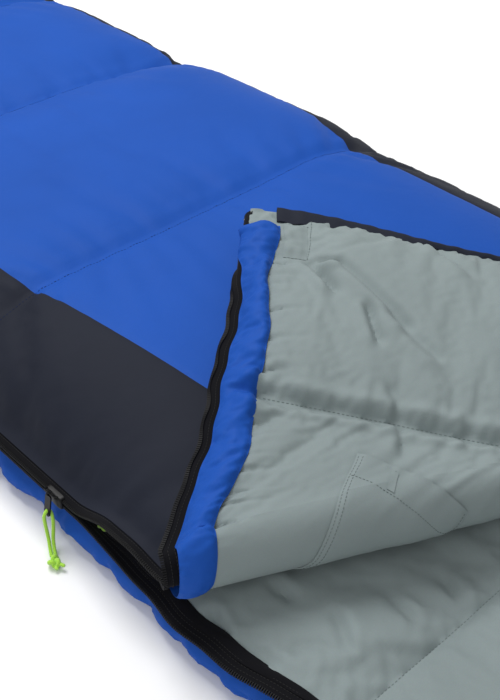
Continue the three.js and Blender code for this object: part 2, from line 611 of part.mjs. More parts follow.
function addPullers() {
  addPart('outer_puller', puller(OUTER_BRIDGE, OUTER_PULLER_ANGLE), BLACK_TAPE, 0.4, 0.6);
  addPart('inner_puller', puller(INNER_BRIDGE, INNER_PULLER_ANGLE), BLACK_TAPE, 0.4, 0.6);
  addPart('outer_pull_cord', tube(OUTER_CORD_ROUTE, CORD_DIAMETER / 2, 26), LIME, 0.8);
  addPart('inner_pull_cord', tube(INNER_CORD_ROUTE, CORD_DIAMETER / 2, 26), LIME, 0.8);
  addPart('outer_cord_knot', knot(-415.1, -355.4, 5.2, [7, 7.5, 4.8]), LIME, 0.8);
  addPart('inner_cord_knot', knot(-368.9, -381, 45.2, [6, 6.2, 4.6]), LIME, 0.8);
}

addTopLayer();
addBottomLayer();
addSeams();
addZip();
addTrim();
addSlider();
addPullers();

// The origin is the middle of the footprint, measured without the free cords.
const footprint = new THREE.Box3();
for (const mesh of bag.children) {
  if (!mesh.name.includes('cord')) footprint.expandByObject(mesh);
}
bag.position.x = -(footprint.min.x + footprint.max.x) / 2;

export default bag;
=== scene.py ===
# Rectangular sleeping bag, the zip-side head corner of its top layer folded back onto itself.
# Metres, in the CAD model's frame: +Z up, +Y towards the foot, -X is the zip side.
import math
import bmesh
import bpy
import numpy as np
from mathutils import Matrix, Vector


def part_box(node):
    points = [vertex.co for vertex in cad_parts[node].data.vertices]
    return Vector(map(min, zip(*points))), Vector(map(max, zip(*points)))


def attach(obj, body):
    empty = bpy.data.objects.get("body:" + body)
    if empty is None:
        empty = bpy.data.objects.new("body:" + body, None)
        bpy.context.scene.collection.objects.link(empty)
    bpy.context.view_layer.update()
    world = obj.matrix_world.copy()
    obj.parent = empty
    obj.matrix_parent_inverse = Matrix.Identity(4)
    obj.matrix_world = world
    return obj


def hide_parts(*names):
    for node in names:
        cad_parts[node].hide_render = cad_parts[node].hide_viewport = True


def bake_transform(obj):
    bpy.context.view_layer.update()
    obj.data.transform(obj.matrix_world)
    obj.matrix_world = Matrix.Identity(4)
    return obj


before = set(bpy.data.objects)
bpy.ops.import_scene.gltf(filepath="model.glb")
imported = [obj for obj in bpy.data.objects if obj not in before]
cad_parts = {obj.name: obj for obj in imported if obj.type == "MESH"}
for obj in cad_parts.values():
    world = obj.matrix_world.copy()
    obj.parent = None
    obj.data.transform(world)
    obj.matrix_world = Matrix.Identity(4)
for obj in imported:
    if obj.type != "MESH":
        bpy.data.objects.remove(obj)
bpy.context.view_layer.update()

# ---- sizes ---------------------------------------------------------------------------------------
HALF_LENGTH = 0.950
LAYER_END = 0.946                    # the layers end under the bindings
SEAM_X = 0.375
BOTTOM_HEIGHT = 0.038
TOP_ZIP_X = -0.3695
TOP_FAR_X = 0.372
FAR_PANEL_X = 0.275
ZIP_PANEL_TAPER = 0.119
FAR_CORNER_RADIUS = 0.080

FOLD_START = np.array([-0.375, -0.4975])
FOLD_ANGLE = math.radians(-26)
ALONG = np.array([math.cos(FOLD_ANGLE), math.sin(FOLD_ANGLE)])
TO_FOOT = np.array([-ALONG[1], ALONG[0]])
FOLD_AXIS_Z = 0.088
FOLD_RADIUS = 0.024

ZIP_X = -0.3853
TAPE_OUTER_X = -0.3829
TAPE_INNER_X = -0.3640               # the tape runs in between shell and lining
OPEN_COIL_Z = 0.039
CLOSED_LIFT = 0.012                  # the top layer pulls the closed zip up
LIFT_START, LIFT_END = -0.440, -0.358
UPPER_COIL_Z = OPEN_COIL_Z + CLOSED_LIFT + 0.0056
SHELL_EDGE_X = -0.3772               # the shell covers the inner half of the upper tape
ZIP_FOOT_Y = 0.830
GUARD_INNER_X = -0.3605

TOP_QUILT_LINES = (-0.670, -0.110, 0.320, 0.690)
BOTTOM_QUILT_LINES = (-0.690, -0.190, 0.310)
TUBE_WIDTH = 0.040
TUBE_HEAD_Y = -0.911
PATCH = {"left": -0.3305, "right": -0.3050, "head": -0.9220, "foot": -0.8640}

CLOTH = 0.0012                       # shell and lining cloth, as modelled
EDGE_LOFT = 0.0018                   # half the quilt where it is sewn flat
CORD_DIAMETER = 0.0038

bottom_low, bottom_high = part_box("bottom_shell")
MIDDLE_X = (bottom_low[0] + bottom_high[0]) / 2    # the bag's middle, in the frame
scene = bpy.context.scene


# ---- plain helpers -------------------------------------------------------------------------------
def lerp(a, b, t):
    return a + (b - a) * t


def smooth(t):
    t = np.clip(t, 0, 1)
    return t * t * (3 - 2 * t)


def wave(run, pitch, phase=0):
    return np.sin(2 * math.pi * run / pitch + phase)


def hump(run, middle, width):
    return np.exp(-((run - middle) / width) ** 2)


def shoulder(distance, width):
    return 1 - (1 - np.clip(distance / width, 0, 1)) ** 2.4


def unit(v):
    return v / np.maximum(np.linalg.norm(v, axis=-1, keepdims=True), 1e-12)


def grid(x, y, z):
    """Points from coordinates whose shapes go together."""
    return np.stack(np.broadcast_arrays(x, y, z), -1)


def upwards(path):
    """Straight up, for each point of a path."""
    return np.broadcast_to([0.0, 0, 1], path.shape)


def in_frame(points):
    """Points with X measured from the bag's middle, moved to the frame."""
    return np.asarray(points, float) + [MIDDLE_X, 0, 0]


# ---- camera, floor and light ---------------------------------------------------------------------
def link(name, data):
    """A new object in the scene."""
    made = bpy.data.objects.new(name, data)
    scene.collection.objects.link(made)
    return made


CAMERA_PLACE = [-0.771, -1.022, 0.864]
CAMERA_HEADING = math.radians(43.06)
CAMERA_PITCH = math.radians(38.81)
CAMERA_LENS = 57.0
FLOOR_HALF = 9.0
FLOOR_Z = -0.0006
FLOOR_TONE = 0.93
SKY_STRENGTH = 0.44
LAMPS = (("key", (0.1, 1.2, 2.9), 1.6, 84), ("fill", (-2.2, -1.4, 2.4), 2.0, 21))   # place, size, watts


def add_camera():
    data = bpy.data.cameras.new("camera")
    data.lens = CAMERA_LENS
    data.clip_end = 50
    camera = link("camera", data)
    camera.location = in_frame(CAMERA_PLACE)
    level = math.cos(CAMERA_PITCH)
    ahead = (math.sin(CAMERA_HEADING) * level, math.cos(CAMERA_HEADING) * level, -math.sin(CAMERA_PITCH))
    camera.rotation_euler = Vector(ahead).to_track_quat("-Z", "Y").to_euler()
    scene.camera = camera


def add_stage():
    mesh = bpy.data.meshes.new("floor")
    corners = [(x * FLOOR_HALF, y * FLOOR_HALF, FLOOR_Z) for x, y in ((-1, -1), (1, -1), (1, 1), (-1, 1))]
    mesh.from_pydata(corners, [], [(0, 1, 2, 3)])
    floor = link("floor", mesh)
    material, _, shader = new_material("floor")
    shader.inputs["Base Color"].default_value = (FLOOR_TONE, FLOOR_TONE, FLOOR_TONE, 1)
    shader.inputs["Roughness"].default_value = 0.9
    mesh.materials.append(material)

    world = bpy.data.worlds.new("studio")
    world.use_nodes = True
    sky = world.node_tree.nodes["Background"]
    sky.inputs["Color"].default_value = (1, 1, 1, 1)
    sky.inputs["Strength"].default_value = SKY_STRENGTH
    scene.world = world
    for name, place, size, power in LAMPS:
        light = bpy.data.lights.new(name, "AREA")
        light.size = size
        light.energy = power
        lamp = link(name, light)
        lamp.location = place
        lamp.rotation_euler = (-Vector(place)).to_track_quat("-Z", "Y").to_euler()
    scene.view_settings.view_transform = "Standard"


# ---- materials -----------------------------------------------------------------------------------
def new_material(name):
    material = bpy.data.materials.new(name)
    material.use_nodes = True
    return material, material.node_tree, material.node_tree.nodes["Principled BSDF"]


def fill(tree, made, inputs):
    """Sets a node's inputs to numbers or colours, or links them to other nodes' outputs."""
    for name, value in inputs.items():
        if isinstance(value, bpy.types.NodeSocket):
            tree.links.new(value, made.inputs[name])
        else:
            made.inputs[name].default_value = value


def node(tree, kind, inputs, output=0, **settings):
    """A new shader node's output."""
    made = tree.nodes.new(f"ShaderNode{kind}")
    for name, value in settings.items():
        setattr(made, name, value)
    fill(tree, made, inputs)
    return made.outputs[output]


def ramp(tree, share, low, high, positions=(0, 1)):
    """A colour from low to high."""
    color = node(tree, "ValToRGB", {"Fac": share}, "Color")
    for stop, position, tone in zip(color.node.color_ramp.elements, positions, (low, high)):
        stop.position = position
        stop.color = (*tone, 1)
    return color


def bump(tree, height, strength, distance, **more):
    inputs = {"Strength": strength, "Distance": distance, "Height": height, **more}
    return node(tree, "Bump", inputs, "Normal")


def strands(tree, pitch, direction, vector, **more):
    """A band texture across X, Y or Z, one band for each pitch."""
    inputs = {"Scale": 2 * math.pi / (20 * pitch), "Vector": vector, **more}
    return node(tree, "TexWave", inputs, "Fac", bands_direction=direction)


def crossed(tree, first, second):
    return node(tree, "Math", {0: first, 1: second}, operation="MAXIMUM")


def cloth_material(name, color, pitch, roughness, sheen, weave=0.25, blotch=0.10):
    """A woven cloth: threads across and along the cut, faint blotches, and fine nap. The threads
    follow the cut's own plan, kept as a UV map in metres."""
    material, tree, shader = new_material(name)
    plan = node(tree, "UVMap", {}, "UV", uv_map="plan")
    place = node(tree, "TexCoord", {}, "Object")
    threads = [strands(tree, pitch, way, plan, **{"Distortion": 0.6, "Detail Scale": 3}) for way in "XY"]
    nap = node(tree, "TexNoise", {"Scale": 900, "Detail": 3, "Vector": place}, "Color")
    crinkle = node(tree, "TexNoise", {"Scale": 55, "Detail": 4, "Distortion": 0.8, "Vector": place}, "Fac")
    patches = node(tree, "TexNoise", {"Scale": 7, "Detail": 5, "Vector": place}, "Fac")
    fine = bump(tree, crossed(tree, *threads), weave, 0.0002)
    tone = ramp(tree, patches, [c * (1 - blotch) for c in color], [min(1, c * (1 + blotch)) for c in color],
                (0.3, 0.7))
    speckle = {"Fac": 0.18, "Color1": tone, "Color2": nap}
    fill(tree, shader, {
        "Roughness": roughness, "Sheen Weight": sheen, "Sheen Roughness": 0.45,
        "Sheen Tint": (*[min(1, 0.35 + c) for c in color], 1), "Specular IOR Level": 0.10,
        "Normal": bump(tree, crinkle, 0.16, 0.0022, Normal=fine),
        "Base Color": node(tree, "MixRGB", speckle, blend_type="MULTIPLY")})
    return material


def hard_material(name, color, roughness, grain=0.15, metallic=0.0, wear=None):
    """Lacquer, metal or nylon, with a fine grain, and wear on a few spots."""
    material, tree, shader = new_material(name)
    place = node(tree, "TexCoord", {}, "Object")
    noise = node(tree, "TexNoise", {"Scale": 700, "Detail": 4, "Vector": place}, "Fac")
    spots = node(tree, "TexNoise", {"Scale": 220, "Detail": 6, "Vector": place}, "Fac")
    gloss = {"To Min": roughness - 0.08, "To Max": roughness + 0.12, "Value": noise}
    fill(tree, shader, {
        "Metallic": metallic, "Specular IOR Level": 0.2, "Normal": bump(tree, noise, grain, 0.0002),
        "Roughness": node(tree, "MapRange", gloss, "Result"),
        "Base Color": ramp(tree, spots, color, wear or [min(1, c * 1.5) for c in color], (0.35, 0.72))})
    return material


def cord_material():
    """Braided cord: two crossing sets of strands, by place along and round the cord."""
    material, tree, shader = new_material("lime_cord")
    place = node(tree, "TexCoord", {}, "Object")
    sets = []
    for turn in (math.radians(38), math.radians(-38)):
        turned = node(tree, "Mapping", {"Rotation": (turn, turn, 0), "Vector": place}, "Vector")
        sets.append(strands(tree, 0.0011, "Z", turned, Distortion=0.5))
    height = crossed(tree, *sets)
    # The base colour follows the strands' height, darker in the grooves between strands: painted shade.
    fill(tree, shader, {"Roughness": 0.7, "Sheen Weight": 0.4, "Normal": bump(tree, height, 0.5, 0.0004),
                        "Base Color": ramp(tree, height, (0.25, 0.55, 0.02), (0.45, 0.82, 0.06))})
    return material


CLOTHS = {                           # colour, thread pitch, roughness, sheen, weave, blotches
    "blue_shell": ((0.012, 0.084, 0.425), 0.0007, 0.6, 0.03, 0.2, 0.05),
    "charcoal_shell": ((0.016, 0.019, 0.031), 0.0007, 0.65, 0.02, 0.2, 0.08),
    "lining": ((0.255, 0.305, 0.308), 0.0009, 0.68, 0.12, 0.25, 0.05),
    "zip_tape": ((0.006, 0.006, 0.008), 0.0013, 0.85, 0.1, 0.8, 0.2),
    "dark_thread": ((0.010, 0.022, 0.080), 0.0006, 0.7, 0.1),
    "lining_thread": ((0.15, 0.185, 0.185), 0.0006, 0.7, 0.1),
    "grey_thread": ((0.030, 0.030, 0.030), 0.0006, 0.7, 0.1),
}
MATERIALS = {name: cloth_material(name, *look) for name, look in CLOTHS.items()}
MATERIALS["zip_coil"] = hard_material("zip_coil", (0.005, 0.005, 0.006), 0.6)
MATERIALS["slider_metal"] = hard_material("slider_metal", (0.003, 0.003, 0.0035), 0.40, 0.1,
                                          wear=(0.010, 0.010, 0.011))
MATERIALS["stop_metal"] = hard_material("stop_metal", (0.55, 0.55, 0.56), 0.28, metallic=1.0)
MATERIALS["lime_cord"] = cord_material()


# ---- mesh helpers --------------------------------------------------------------------------------
def quads(index):
    """Faces of a grid of vertex numbers."""
    return np.stack([index[:-1, :-1], index[:-1, 1:], index[1:, 1:], index[1:, :-1]], -1).reshape(-1, 4)


def volume(points, faces):
    a, b, c, d = (points[faces[:, k]] for k in range(4))
    return (np.einsum("ij,ij->i", a, np.cross(b, c)) + np.einsum("ij,ij->i", a, np.cross(c, d))).sum()


def make_piece(name, points, faces, material, plan, weld=False, crisp=50):
    """A mesh object from points measured from the bag's middle, its faces turned outwards. A face
    has four corners, or is a triangle with one of them given twice."""
    points = in_frame(points)
    if volume(points - points.mean(0), faces) < 0:
        faces = faces[:, ::-1]
    mesh = bpy.data.meshes.new(name)
    mesh.from_pydata(points.tolist(), [], [list(dict.fromkeys(face)) for face in faces.tolist()])
    layer = mesh.uv_layers.new(name="plan")
    loops = np.empty(len(mesh.loops), int)
    mesh.loops.foreach_get("vertex_index", loops)
    layer.data.foreach_set("uv", plan[loops].astype(np.float32).ravel())
    if weld:
        work = bmesh.new()
        work.from_mesh(mesh)
        bmesh.ops.remove_doubles(work, verts=work.verts, dist=2e-5)
        work.to_mesh(mesh)
        work.free()
    mesh.shade_smooth()
    mesh.set_sharp_from_angle(angle=math.radians(crisp))
    mesh.materials.append(MATERIALS[material])
    return link(name, mesh)


def slab(name, outer, inner, material, plan=None, weld=False, crisp=50):
    """A closed body between two grids of points."""
    rows, columns = outer.shape[:2]
    count = rows * columns
    index = np.arange(count).reshape(rows, columns)
    edge = np.concatenate([index[0, :-1], index[:-1, -1], index[-1, :0:-1], index[:0:-1, 0]])
    ahead = np.roll(edge, -1)
    rim = np.stack([edge, edge + count, ahead + count, ahead], -1)
    faces = np.concatenate([quads(index), quads(index + count)[:, ::-1], rim])
    points = np.concatenate([outer.reshape(-1, 3), inner.reshape(-1, 3)])
    if plan is not None:
        plan = np.tile(plan.reshape(-1, 2), (2, 1))
    else:
        plan = points[:, :2] - [MIDDLE_X, 0]
    return make_piece(name, points, faces, material, plan, weld, crisp)


def between(name, place, x, v, top, base, material, *slides, run=None, **more):
    """A slab of cloth between two heights over the places (x, v). Its slides are place's own: one for
    both sides, or one for each. Its threads follow x and v, or x and run."""
    outer, _ = place(x, v, top, *slides[:1])
    inner, _ = place(x, v, base, *slides[-1:])
    plan = np.stack([x, v if run is None else run], -1)
    return slab(name, outer, inner, material, plan, **more)


def tube(name, path, radius, material, sides=10):
    """A round rod along a path of points."""
    path = np.asarray(path, float)
    ahead = unit(np.gradient(path, axis=0))
    helper = np.where(np.abs(ahead[:, 2:3]) > 0.9, [[1.0, 0, 0]], [[0, 0, 1.0]])
    across = unit(np.cross(ahead, helper))
    upward = np.cross(across, ahead)
    turn = np.linspace(0, 2 * math.pi, sides, endpoint=False)
    radius = np.broadcast_to(np.asarray(radius, float), (len(path),))[:, None, None]
    ring = across[:, None] * np.cos(turn)[None, :, None] + upward[:, None] * np.sin(turn)[None, :, None]
    points = path[:, None] + radius * ring
    index = np.arange(len(path) * sides).reshape(len(path), sides)
    faces = quads(np.concatenate([index, index[:, :1]], 1))
    points = np.concatenate([points.reshape(-1, 3), path[:1], path[-1:]])
    first, last = len(points) - 2, len(points) - 1
    around = np.roll(np.arange(sides), -1)
    caps = [[index[0, k], index[0, around[k]], first, first] for k in range(sides)]
    caps += [[index[-1, around[k]], index[-1, k], last, last] for k in range(sides)]
    mesh_faces = np.concatenate([faces, np.array(caps)])
    return make_piece(name, points, mesh_faces, material, points[:, :2], crisp=60)


BRICK = np.array([[-1, -1, -1], [1, -1, -1], [1, 1, -1], [-1, 1, -1],
                  [-0.7, -0.7, 1], [0.7, -0.7, 1], [0.7, 0.7, 1], [-0.7, 0.7, 1]], float)
BRICK_FACES = np.array([[0, 3, 2, 1], [4, 5, 6, 7], [0, 1, 5, 4], [1, 2, 6, 5], [2, 3, 7, 6], [3, 0, 4, 7]])


def bricks(name, places, along, up, size, material):
    """Many small rounded-off bars, one at each place, such as stitches or the teeth of a zip.
    size is the half length along, across and up."""
    along = unit(along)
    across = unit(np.cross(up, along))
    up = np.cross(along, across)
    corners = places[:, None]
    for k, way in enumerate((along, across, up)):
        corners = corners + BRICK[None, :, k:k + 1] * size[k] * way[:, None]
    faces = (BRICK_FACES[None] + 8 * np.arange(len(places))[:, None, None]).reshape(-1, 4)
    points = corners.reshape(-1, 3)
    return make_piece(name, points, faces, material, points[:, :2], crisp=30)


def resample(path, pitch):
    """Points a pitch apart along a polyline, with what else is given in the same columns."""
    gaps = np.linalg.norm(np.diff(path[:, :3], axis=0), axis=1)
    run = np.concatenate([[0], np.cumsum(gaps)])
    at = np.arange(pitch / 2, run[-1], pitch)
    return np.stack([np.interp(at, run, path[:, k]) for k in range(path.shape[1])], -1)


def stitches(name, path, normals, material, body, pitch=0.0042, length=0.0028, width=0.0006,
             tall=0.00035):
    """A row of thread along a path on cloth."""
    table = resample(np.concatenate([path, normals], 1), pitch)
    places, up = table[:, :3], unit(table[:, 3:])
    along = unit(np.gradient(places, axis=0))
    row = bricks(name, places + up * 0.0001, along, up, (length / 2, width / 2, tall), material)
    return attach(row, body) if body else row


def show(piece, body, slot, *nodes):
    """piece rides on body and stands for nodes. slot is not used."""
    if body is not None:
        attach(piece, body)
    if nodes:
        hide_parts(*nodes)
    return piece


# ---- the pull cords ------------------------------------------------------------------------------
OUTER_CORD_ROUTE = [
    (-0.4128, -0.3466, 0.0042), (-0.4092, -0.3396, 0.0068), (-0.4058, -0.3334, 0.0124),
    (-0.4042, -0.3294, 0.0205), (-0.4034, -0.3270, 0.0295), (-0.4025, -0.3258, 0.0388),
    (-0.3974, -0.3250, 0.0434), (-0.3940, -0.3254, 0.0385), (-0.3942, -0.3274, 0.0295),
    (-0.3970, -0.3304, 0.0205), (-0.4014, -0.3348, 0.0124), (-0.4054, -0.3412, 0.0068),
    (-0.4090, -0.3480, 0.0042)]
INNER_CORD_ROUTE = [
    (-0.3658, -0.3740, 0.0420), (-0.3623, -0.3670, 0.0420), (-0.3583, -0.3585, 0.0420),
    (-0.3548, -0.3490, 0.0420), (-0.3527, -0.3390, 0.0422), (-0.3523, -0.3300, 0.0428),
    (-0.3523, -0.3256, 0.0446), (-0.3523, -0.3260, 0.0488), (-0.3531, -0.3330, 0.0492),
    (-0.3557, -0.3430, 0.0472), (-0.3599, -0.3540, 0.0462), (-0.3647, -0.3640, 0.0458),
    (-0.3685, -0.3730, 0.0455)]


def rounded(route, steps=6):
    """More points along the smooth curve through a route."""
    route = np.asarray(route, float)
    ends = [2 * route[0] - route[1], *route, 2 * route[-1] - route[-2]]
    out = []
    for a, b, c, d in zip(ends, ends[1:], ends[2:], ends[3:]):
        for t in np.arange(steps) / steps:
            out.append(0.5 * (2 * b + (c - a) * t + (2 * a - 5 * b + 4 * c - d) * t ** 2
                              + (3 * b - a - 3 * c + d) * t ** 3))
    return np.array(out + [route[-1]])


def cord_curve(name, route):
    data = bpy.data.curves.new(name, "CURVE")
    data.dimensions = "3D"
    data.bevel_depth = CORD_DIAMETER / 2
    data.bevel_resolution = 3
    data.use_fill_caps = True
    spline = data.splines.new("POLY")
    points = in_frame(rounded(route))
    spline.points.add(len(points) - 1)
    for point, place in zip(spline.points, points):
        point.co = (*place, 1)
    data.materials.append(MATERIALS["lime_cord"])
    return link(name, data)


def add_cord(side, route, knot_size, tails):
    """A loop of cord through a puller's eye, both its ends in an overhand knot."""
    low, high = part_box(f"{side}_cord_knot")
    centre = (np.array(low) + np.array(high)) / 2 - [MIDDLE_X, 0, 0]
    # The knot is one strand that passes over and under itself three times, a trefoil.
    turn = np.linspace(0, 2 * math.pi, 72, endpoint=False)
    reach = np.array([np.sin(turn) + 2 * np.sin(2 * turn), np.cos(turn) - 2 * np.cos(2 * turn),
                      -np.sin(3 * turn)]).T / [3, 3, 1]
    strand = centre + reach * (np.array(knot_size) - CORD_DIAMETER / 2)
    strand = np.concatenate([strand, strand[:1]])
    knot = tube(f"{side}_cord_overhand_knot", strand, CORD_DIAMETER / 2 * 1.25, "lime_cord")
    show(knot, f"{side}_pull", "lime_cord", f"{side}_cord_knot")
    for k, (start, end) in enumerate(tails):
        path = np.linspace(centre + start, centre + end, 7)
        radius = np.array([1, 1, 1, 1, 1, 1.06, 0.8]) * CORD_DIAMETER / 2
        stub = tube(f"{side}_cord_end_{k + 1}", path, radius, "lime_cord")
        show(stub, f"{side}_pull", "lime_cord")
    loop = cord_curve(f"{side}_pull_cord_loop", route)
    show(loop, f"{side}_pull", "lime_cord", f"{side}_pull_cord")


# ---- the surfaces that the top layer lies on -----------------------------------------------------
CURL = 195.0                         # of the flap's loose tape, radians for each metre
FLAT_UNDER = 0.62                    # the roll's underside is pressed flatter than its top
JUT = 0.72                           # how far the roll juts out, for its height


def fold_y(x):
    return FOLD_START[1] + (x - FOLD_START[0]) * math.tan(FOLD_ANGLE)


def from_fold(x, y):
    return (x - FOLD_START[0]) * TO_FOOT[0] + (y - FOLD_START[1]) * TO_FOOT[1]


def zip_panel_x(y):
    return TOP_ZIP_X + ZIP_PANEL_TAPER * (LAYER_END - y) - 0.008


def far_panel_x(y):
    return FAR_PANEL_X + 0.045 * smooth((y + 0.12) / 0.24)


def head_hem_y(x):
    inside = np.clip(x - (TOP_FAR_X - FAR_CORNER_RADIUS), 0, FAR_CORNER_RADIUS)
    return -HALF_LENGTH + 0.002 + FAR_CORNER_RADIUS - np.sqrt(FAR_CORNER_RADIUS ** 2 - inside ** 2)


def lying_middle(x, y):
    """The middle of the layer where it lies over the empty inside."""
    away = np.maximum(from_fold(x, y), 0)
    edge = np.maximum(x - TOP_ZIP_X, 0)
    rise = 1 - (1 - np.exp(-edge / 0.12)) * (1 - np.exp(-away / 0.06))
    far = shoulder(TOP_FAR_X - x, lerp(0.26, 0.19, smooth((y + 0.16) / 0.15)))
    arch = (shoulder(edge, 0.17) * far * shoulder(LAYER_END - y, 0.2) * (1 - np.exp(-away / 0.11))
            * (1 - 0.13 * smooth(y / 0.30) - 0.18 * smooth((y - 0.20) / 0.20)
               + smooth((x - 0.10) / 0.15) * (0.10 * hump(y, -0.10, 0.05)
                                              - 0.16 * hump(y, 0.33, 0.05))))
    lift = (1 - FLAT_UNDER) * FOLD_RADIUS * np.exp(-away / 0.05)
    # The zip tape leaves the edge and slopes down to the coil.
    out = np.clip((TOP_ZIP_X - 0.0004 - x) / (TOP_ZIP_X - 0.0004 - ZIP_X), 0, 1)
    gape = smooth((-0.350 - y) / 0.060)
    drop = (0.064 - UPPER_COIL_Z) * out * smooth(away / 0.034) * (1 - gape)
    lift = lift + 0.011 * gape * smooth(away / 0.05) * np.exp(-edge / 0.06)
    return np.stack([x + 0 * y, y + 0 * x, 0.046 + 0.018 * rise + 0.076 * arch + lift - drop], -1)


def folded_middle(x, y):
    """The middle of the layer where it is folded back, its lining side up. Past its zip edge the
    tape curls down and under it, away from the fold."""
    away = np.maximum(-from_fold(x, y), 0)
    out = np.maximum(TOP_ZIP_X - x, 0)
    curl = CURL * smooth((away - 0.060) / 0.050) * (1 - 0.6 * smooth((-0.895 - y) / 0.040))
    uneven = 1 + 0.16 * wave(y, 0.043) + 0.10 * wave(y, 0.107)
    curl = curl * uneven + 1e-3
    droop = (1 - np.cos(curl * out)) / curl
    x = np.where(out > 0, TOP_ZIP_X - np.sin(curl * out) / curl, x)
    along = (x - FOLD_START[0]) * ALONG[0] + (y - FOLD_START[1]) * ALONG[1]
    plan_x = FOLD_START[0] + along * ALONG[0] + away * TO_FOOT[0]
    plan_y = FOLD_START[1] + along * ALONG[1] + away * TO_FOOT[1]
    drape = shoulder(TOP_FAR_X - x + 0.04, 0.2)
    reach = away ** 2 / (away + 0.05)    # the climb starts level with the top of the roll
    climb = lerp(0.096, 0.053, smooth((along - 0.22) / 0.28)) * (1 - np.exp(-reach / 0.22)) * drape
    return np.stack([plan_x, plan_y, FOLD_AXIS_Z + FOLD_RADIUS + climb - droop], -1)


def edge_wave(x, y):
    """The loose zip edge of the folded part wanders a little."""
    away = -from_fold(x, y)
    loose = smooth(away / 0.10) * smooth((y + HALF_LENGTH) / 0.05)
    inside = np.maximum(x - TOP_ZIP_X, 0)
    near = np.exp(-inside / 0.09)
    sway = 0.0010 * wave(y, 0.047, 1.0) + 0.0022 * wave(y, 0.163)
    bow = 0.015 * np.sin(math.pi * np.clip(away / 0.38, 0, 1)) - 0.009 * smooth((away - 0.28) / 0.12)
    return loose * near * sway + bow * np.exp(-inside / 0.22)


def surface(middle, away_side, x, y, height, slide=None):
    """Points height above the layer's middle, on its shell side, and the shell side's direction.
    away_side is 1 for the lying part and -1 for the folded one. slide moves points in the plan."""
    x, y = np.broadcast_arrays(np.asarray(x, float), np.asarray(y, float))
    reach = np.maximum(away_side * from_fold(x, y), 0)
    if slide is not None:
        along = slide[..., 0] * ALONG[0] + slide[..., 1] * ALONG[1]
        across = (slide[..., 0] * TO_FOOT[0] + slide[..., 1] * TO_FOOT[1]) * smooth(reach / 0.03)
        x = x + along * ALONG[0] + across * TO_FOOT[0]
        y = y + along * ALONG[1] + across * TO_FOOT[1]
    if away_side < 0:
        x = x + edge_wave(x, y)
    step = 0.002 * away_side
    centre = middle(x, y)
    across_x = (middle(x + step, y) - centre) / step
    across_y = (middle(x, y + step) - centre) / step
    up = unit(np.cross(across_x, across_y))
    flat = np.array([0, 0, float(away_side)])
    up = unit(lerp(flat, up, smooth(reach / 0.035)[..., None]))
    return centre + up * np.asarray(height)[..., None], up


def lying(x, y, height, slide=None):
    return surface(lying_middle, 1, x, y, height, slide)


def folded(x, y, height, slide=None):
    return surface(folded_middle, -1, x, y, height, slide)


def rolled(x, turn, height, slide=None):
    """The roll between them: turn is 0 under the axis and 1 over it."""
    x, turn = np.broadcast_arrays(np.asarray(x, float), np.asarray(turn, float))
    if slide is not None:
        x = x + (slide[..., 0] * ALONG[0] + slide[..., 1] * ALONG[1]) * ALONG[0]
    start = FOLD_START + ((x - FOLD_START[0]) / ALONG[0])[..., None] * ALONG
    angle = -math.pi * (0.5 + turn)
    radius = FOLD_RADIUS - np.asarray(height)
    plan = start + (JUT * radius * np.cos(angle))[..., None] * TO_FOOT
    pressed = np.where(np.sin(angle) < 0, FLAT_UNDER, 1.0)
    # The underside rests where the lying part starts.
    low = np.where(np.sin(angle) < 0, -(1 - FLAT_UNDER) * (radius - FOLD_RADIUS) * np.sin(angle) ** 2, 0)
    rise = FOLD_AXIS_Z + radius * np.sin(angle) * pressed - low
    points = np.concatenate([plan, rise[..., None]], -1)
    up = -np.stack([np.cos(angle) * TO_FOOT[0], np.cos(angle) * TO_FOOT[1], np.sin(angle)], -1)
    return points, up


# ---- cloth simulation ----------------------------------------------------------------------------
def blurred(values, cells):
    """A grid of numbers, smoothed over so many cells each way."""
    span = np.arange(-3 * cells, 3 * cells + 1)
    weight = np.exp(-0.5 * (span / cells) ** 2)
    weight /= weight.sum()
    for axis in (0, 1):
        padded = np.concatenate([np.flip(values, axis), values, np.flip(values, axis)], axis)
        parts = np.apply_along_axis(lambda line: np.convolve(line, weight, "same"), axis, padded)
        length = values.shape[axis]
        values = np.take(parts, range(length, 2 * length), axis)
    return values


GLIDE = 0.6                          # how much of a simulated sheet's slide is kept


class Quilt:
    """How far a simulated sheet moved, at any place of its plan."""

    def __init__(self, xs, ys, moved, blur=0.03):
        self.x0, self.y0 = xs[0], ys[0]
        self.dx, self.dy = xs[1] - xs[0], ys[1] - ys[0]
        cells = max(1, round(blur / self.dx))
        self.table = np.concatenate([moved, blurred(moved[..., 2], cells)[..., None]], -1)

    def at(self, x, y):
        """Smooth interpolation, through the four nearest rows and columns."""
        rows, columns = self.table.shape[:2]
        u = np.clip((x - self.x0) / self.dx, 0, columns - 1.001)
        v = np.clip((y - self.y0) / self.dy, 0, rows - 1.001)
        i, j = np.floor(u).astype(int), np.floor(v).astype(int)
        total = 0
        for offset_v, weight_v in self.weights(v - j):
            for offset_u, weight_u in self.weights(u - i):
                row = np.clip(j + offset_v, 0, rows - 1)
                column = np.clip(i + offset_u, 0, columns - 1)
                total = total + self.table[row, column] * (weight_u * weight_v)[..., None]
        return total

    @staticmethod
    def weights(t):
        return ((-1, (-t + 2 * t ** 2 - t ** 3) / 2), (0, (2 - 5 * t ** 2 + 3 * t ** 3) / 2),
                (1, (t + 4 * t ** 2 - 3 * t ** 3) / 2), (2, (t ** 3 - t ** 2) / 2))

    def puff(self, x, y, peak):
        """(height of the quilt's puff, held under about peak, and its slide in the plan)."""
        moved = self.at(x, y)
        low = np.maximum(moved[..., 3], 1e-6)
        share = np.tanh(low / peak) / (low / peak)
        return moved[..., 2] * share, moved[..., :2] * (share * GLIDE)[..., None]


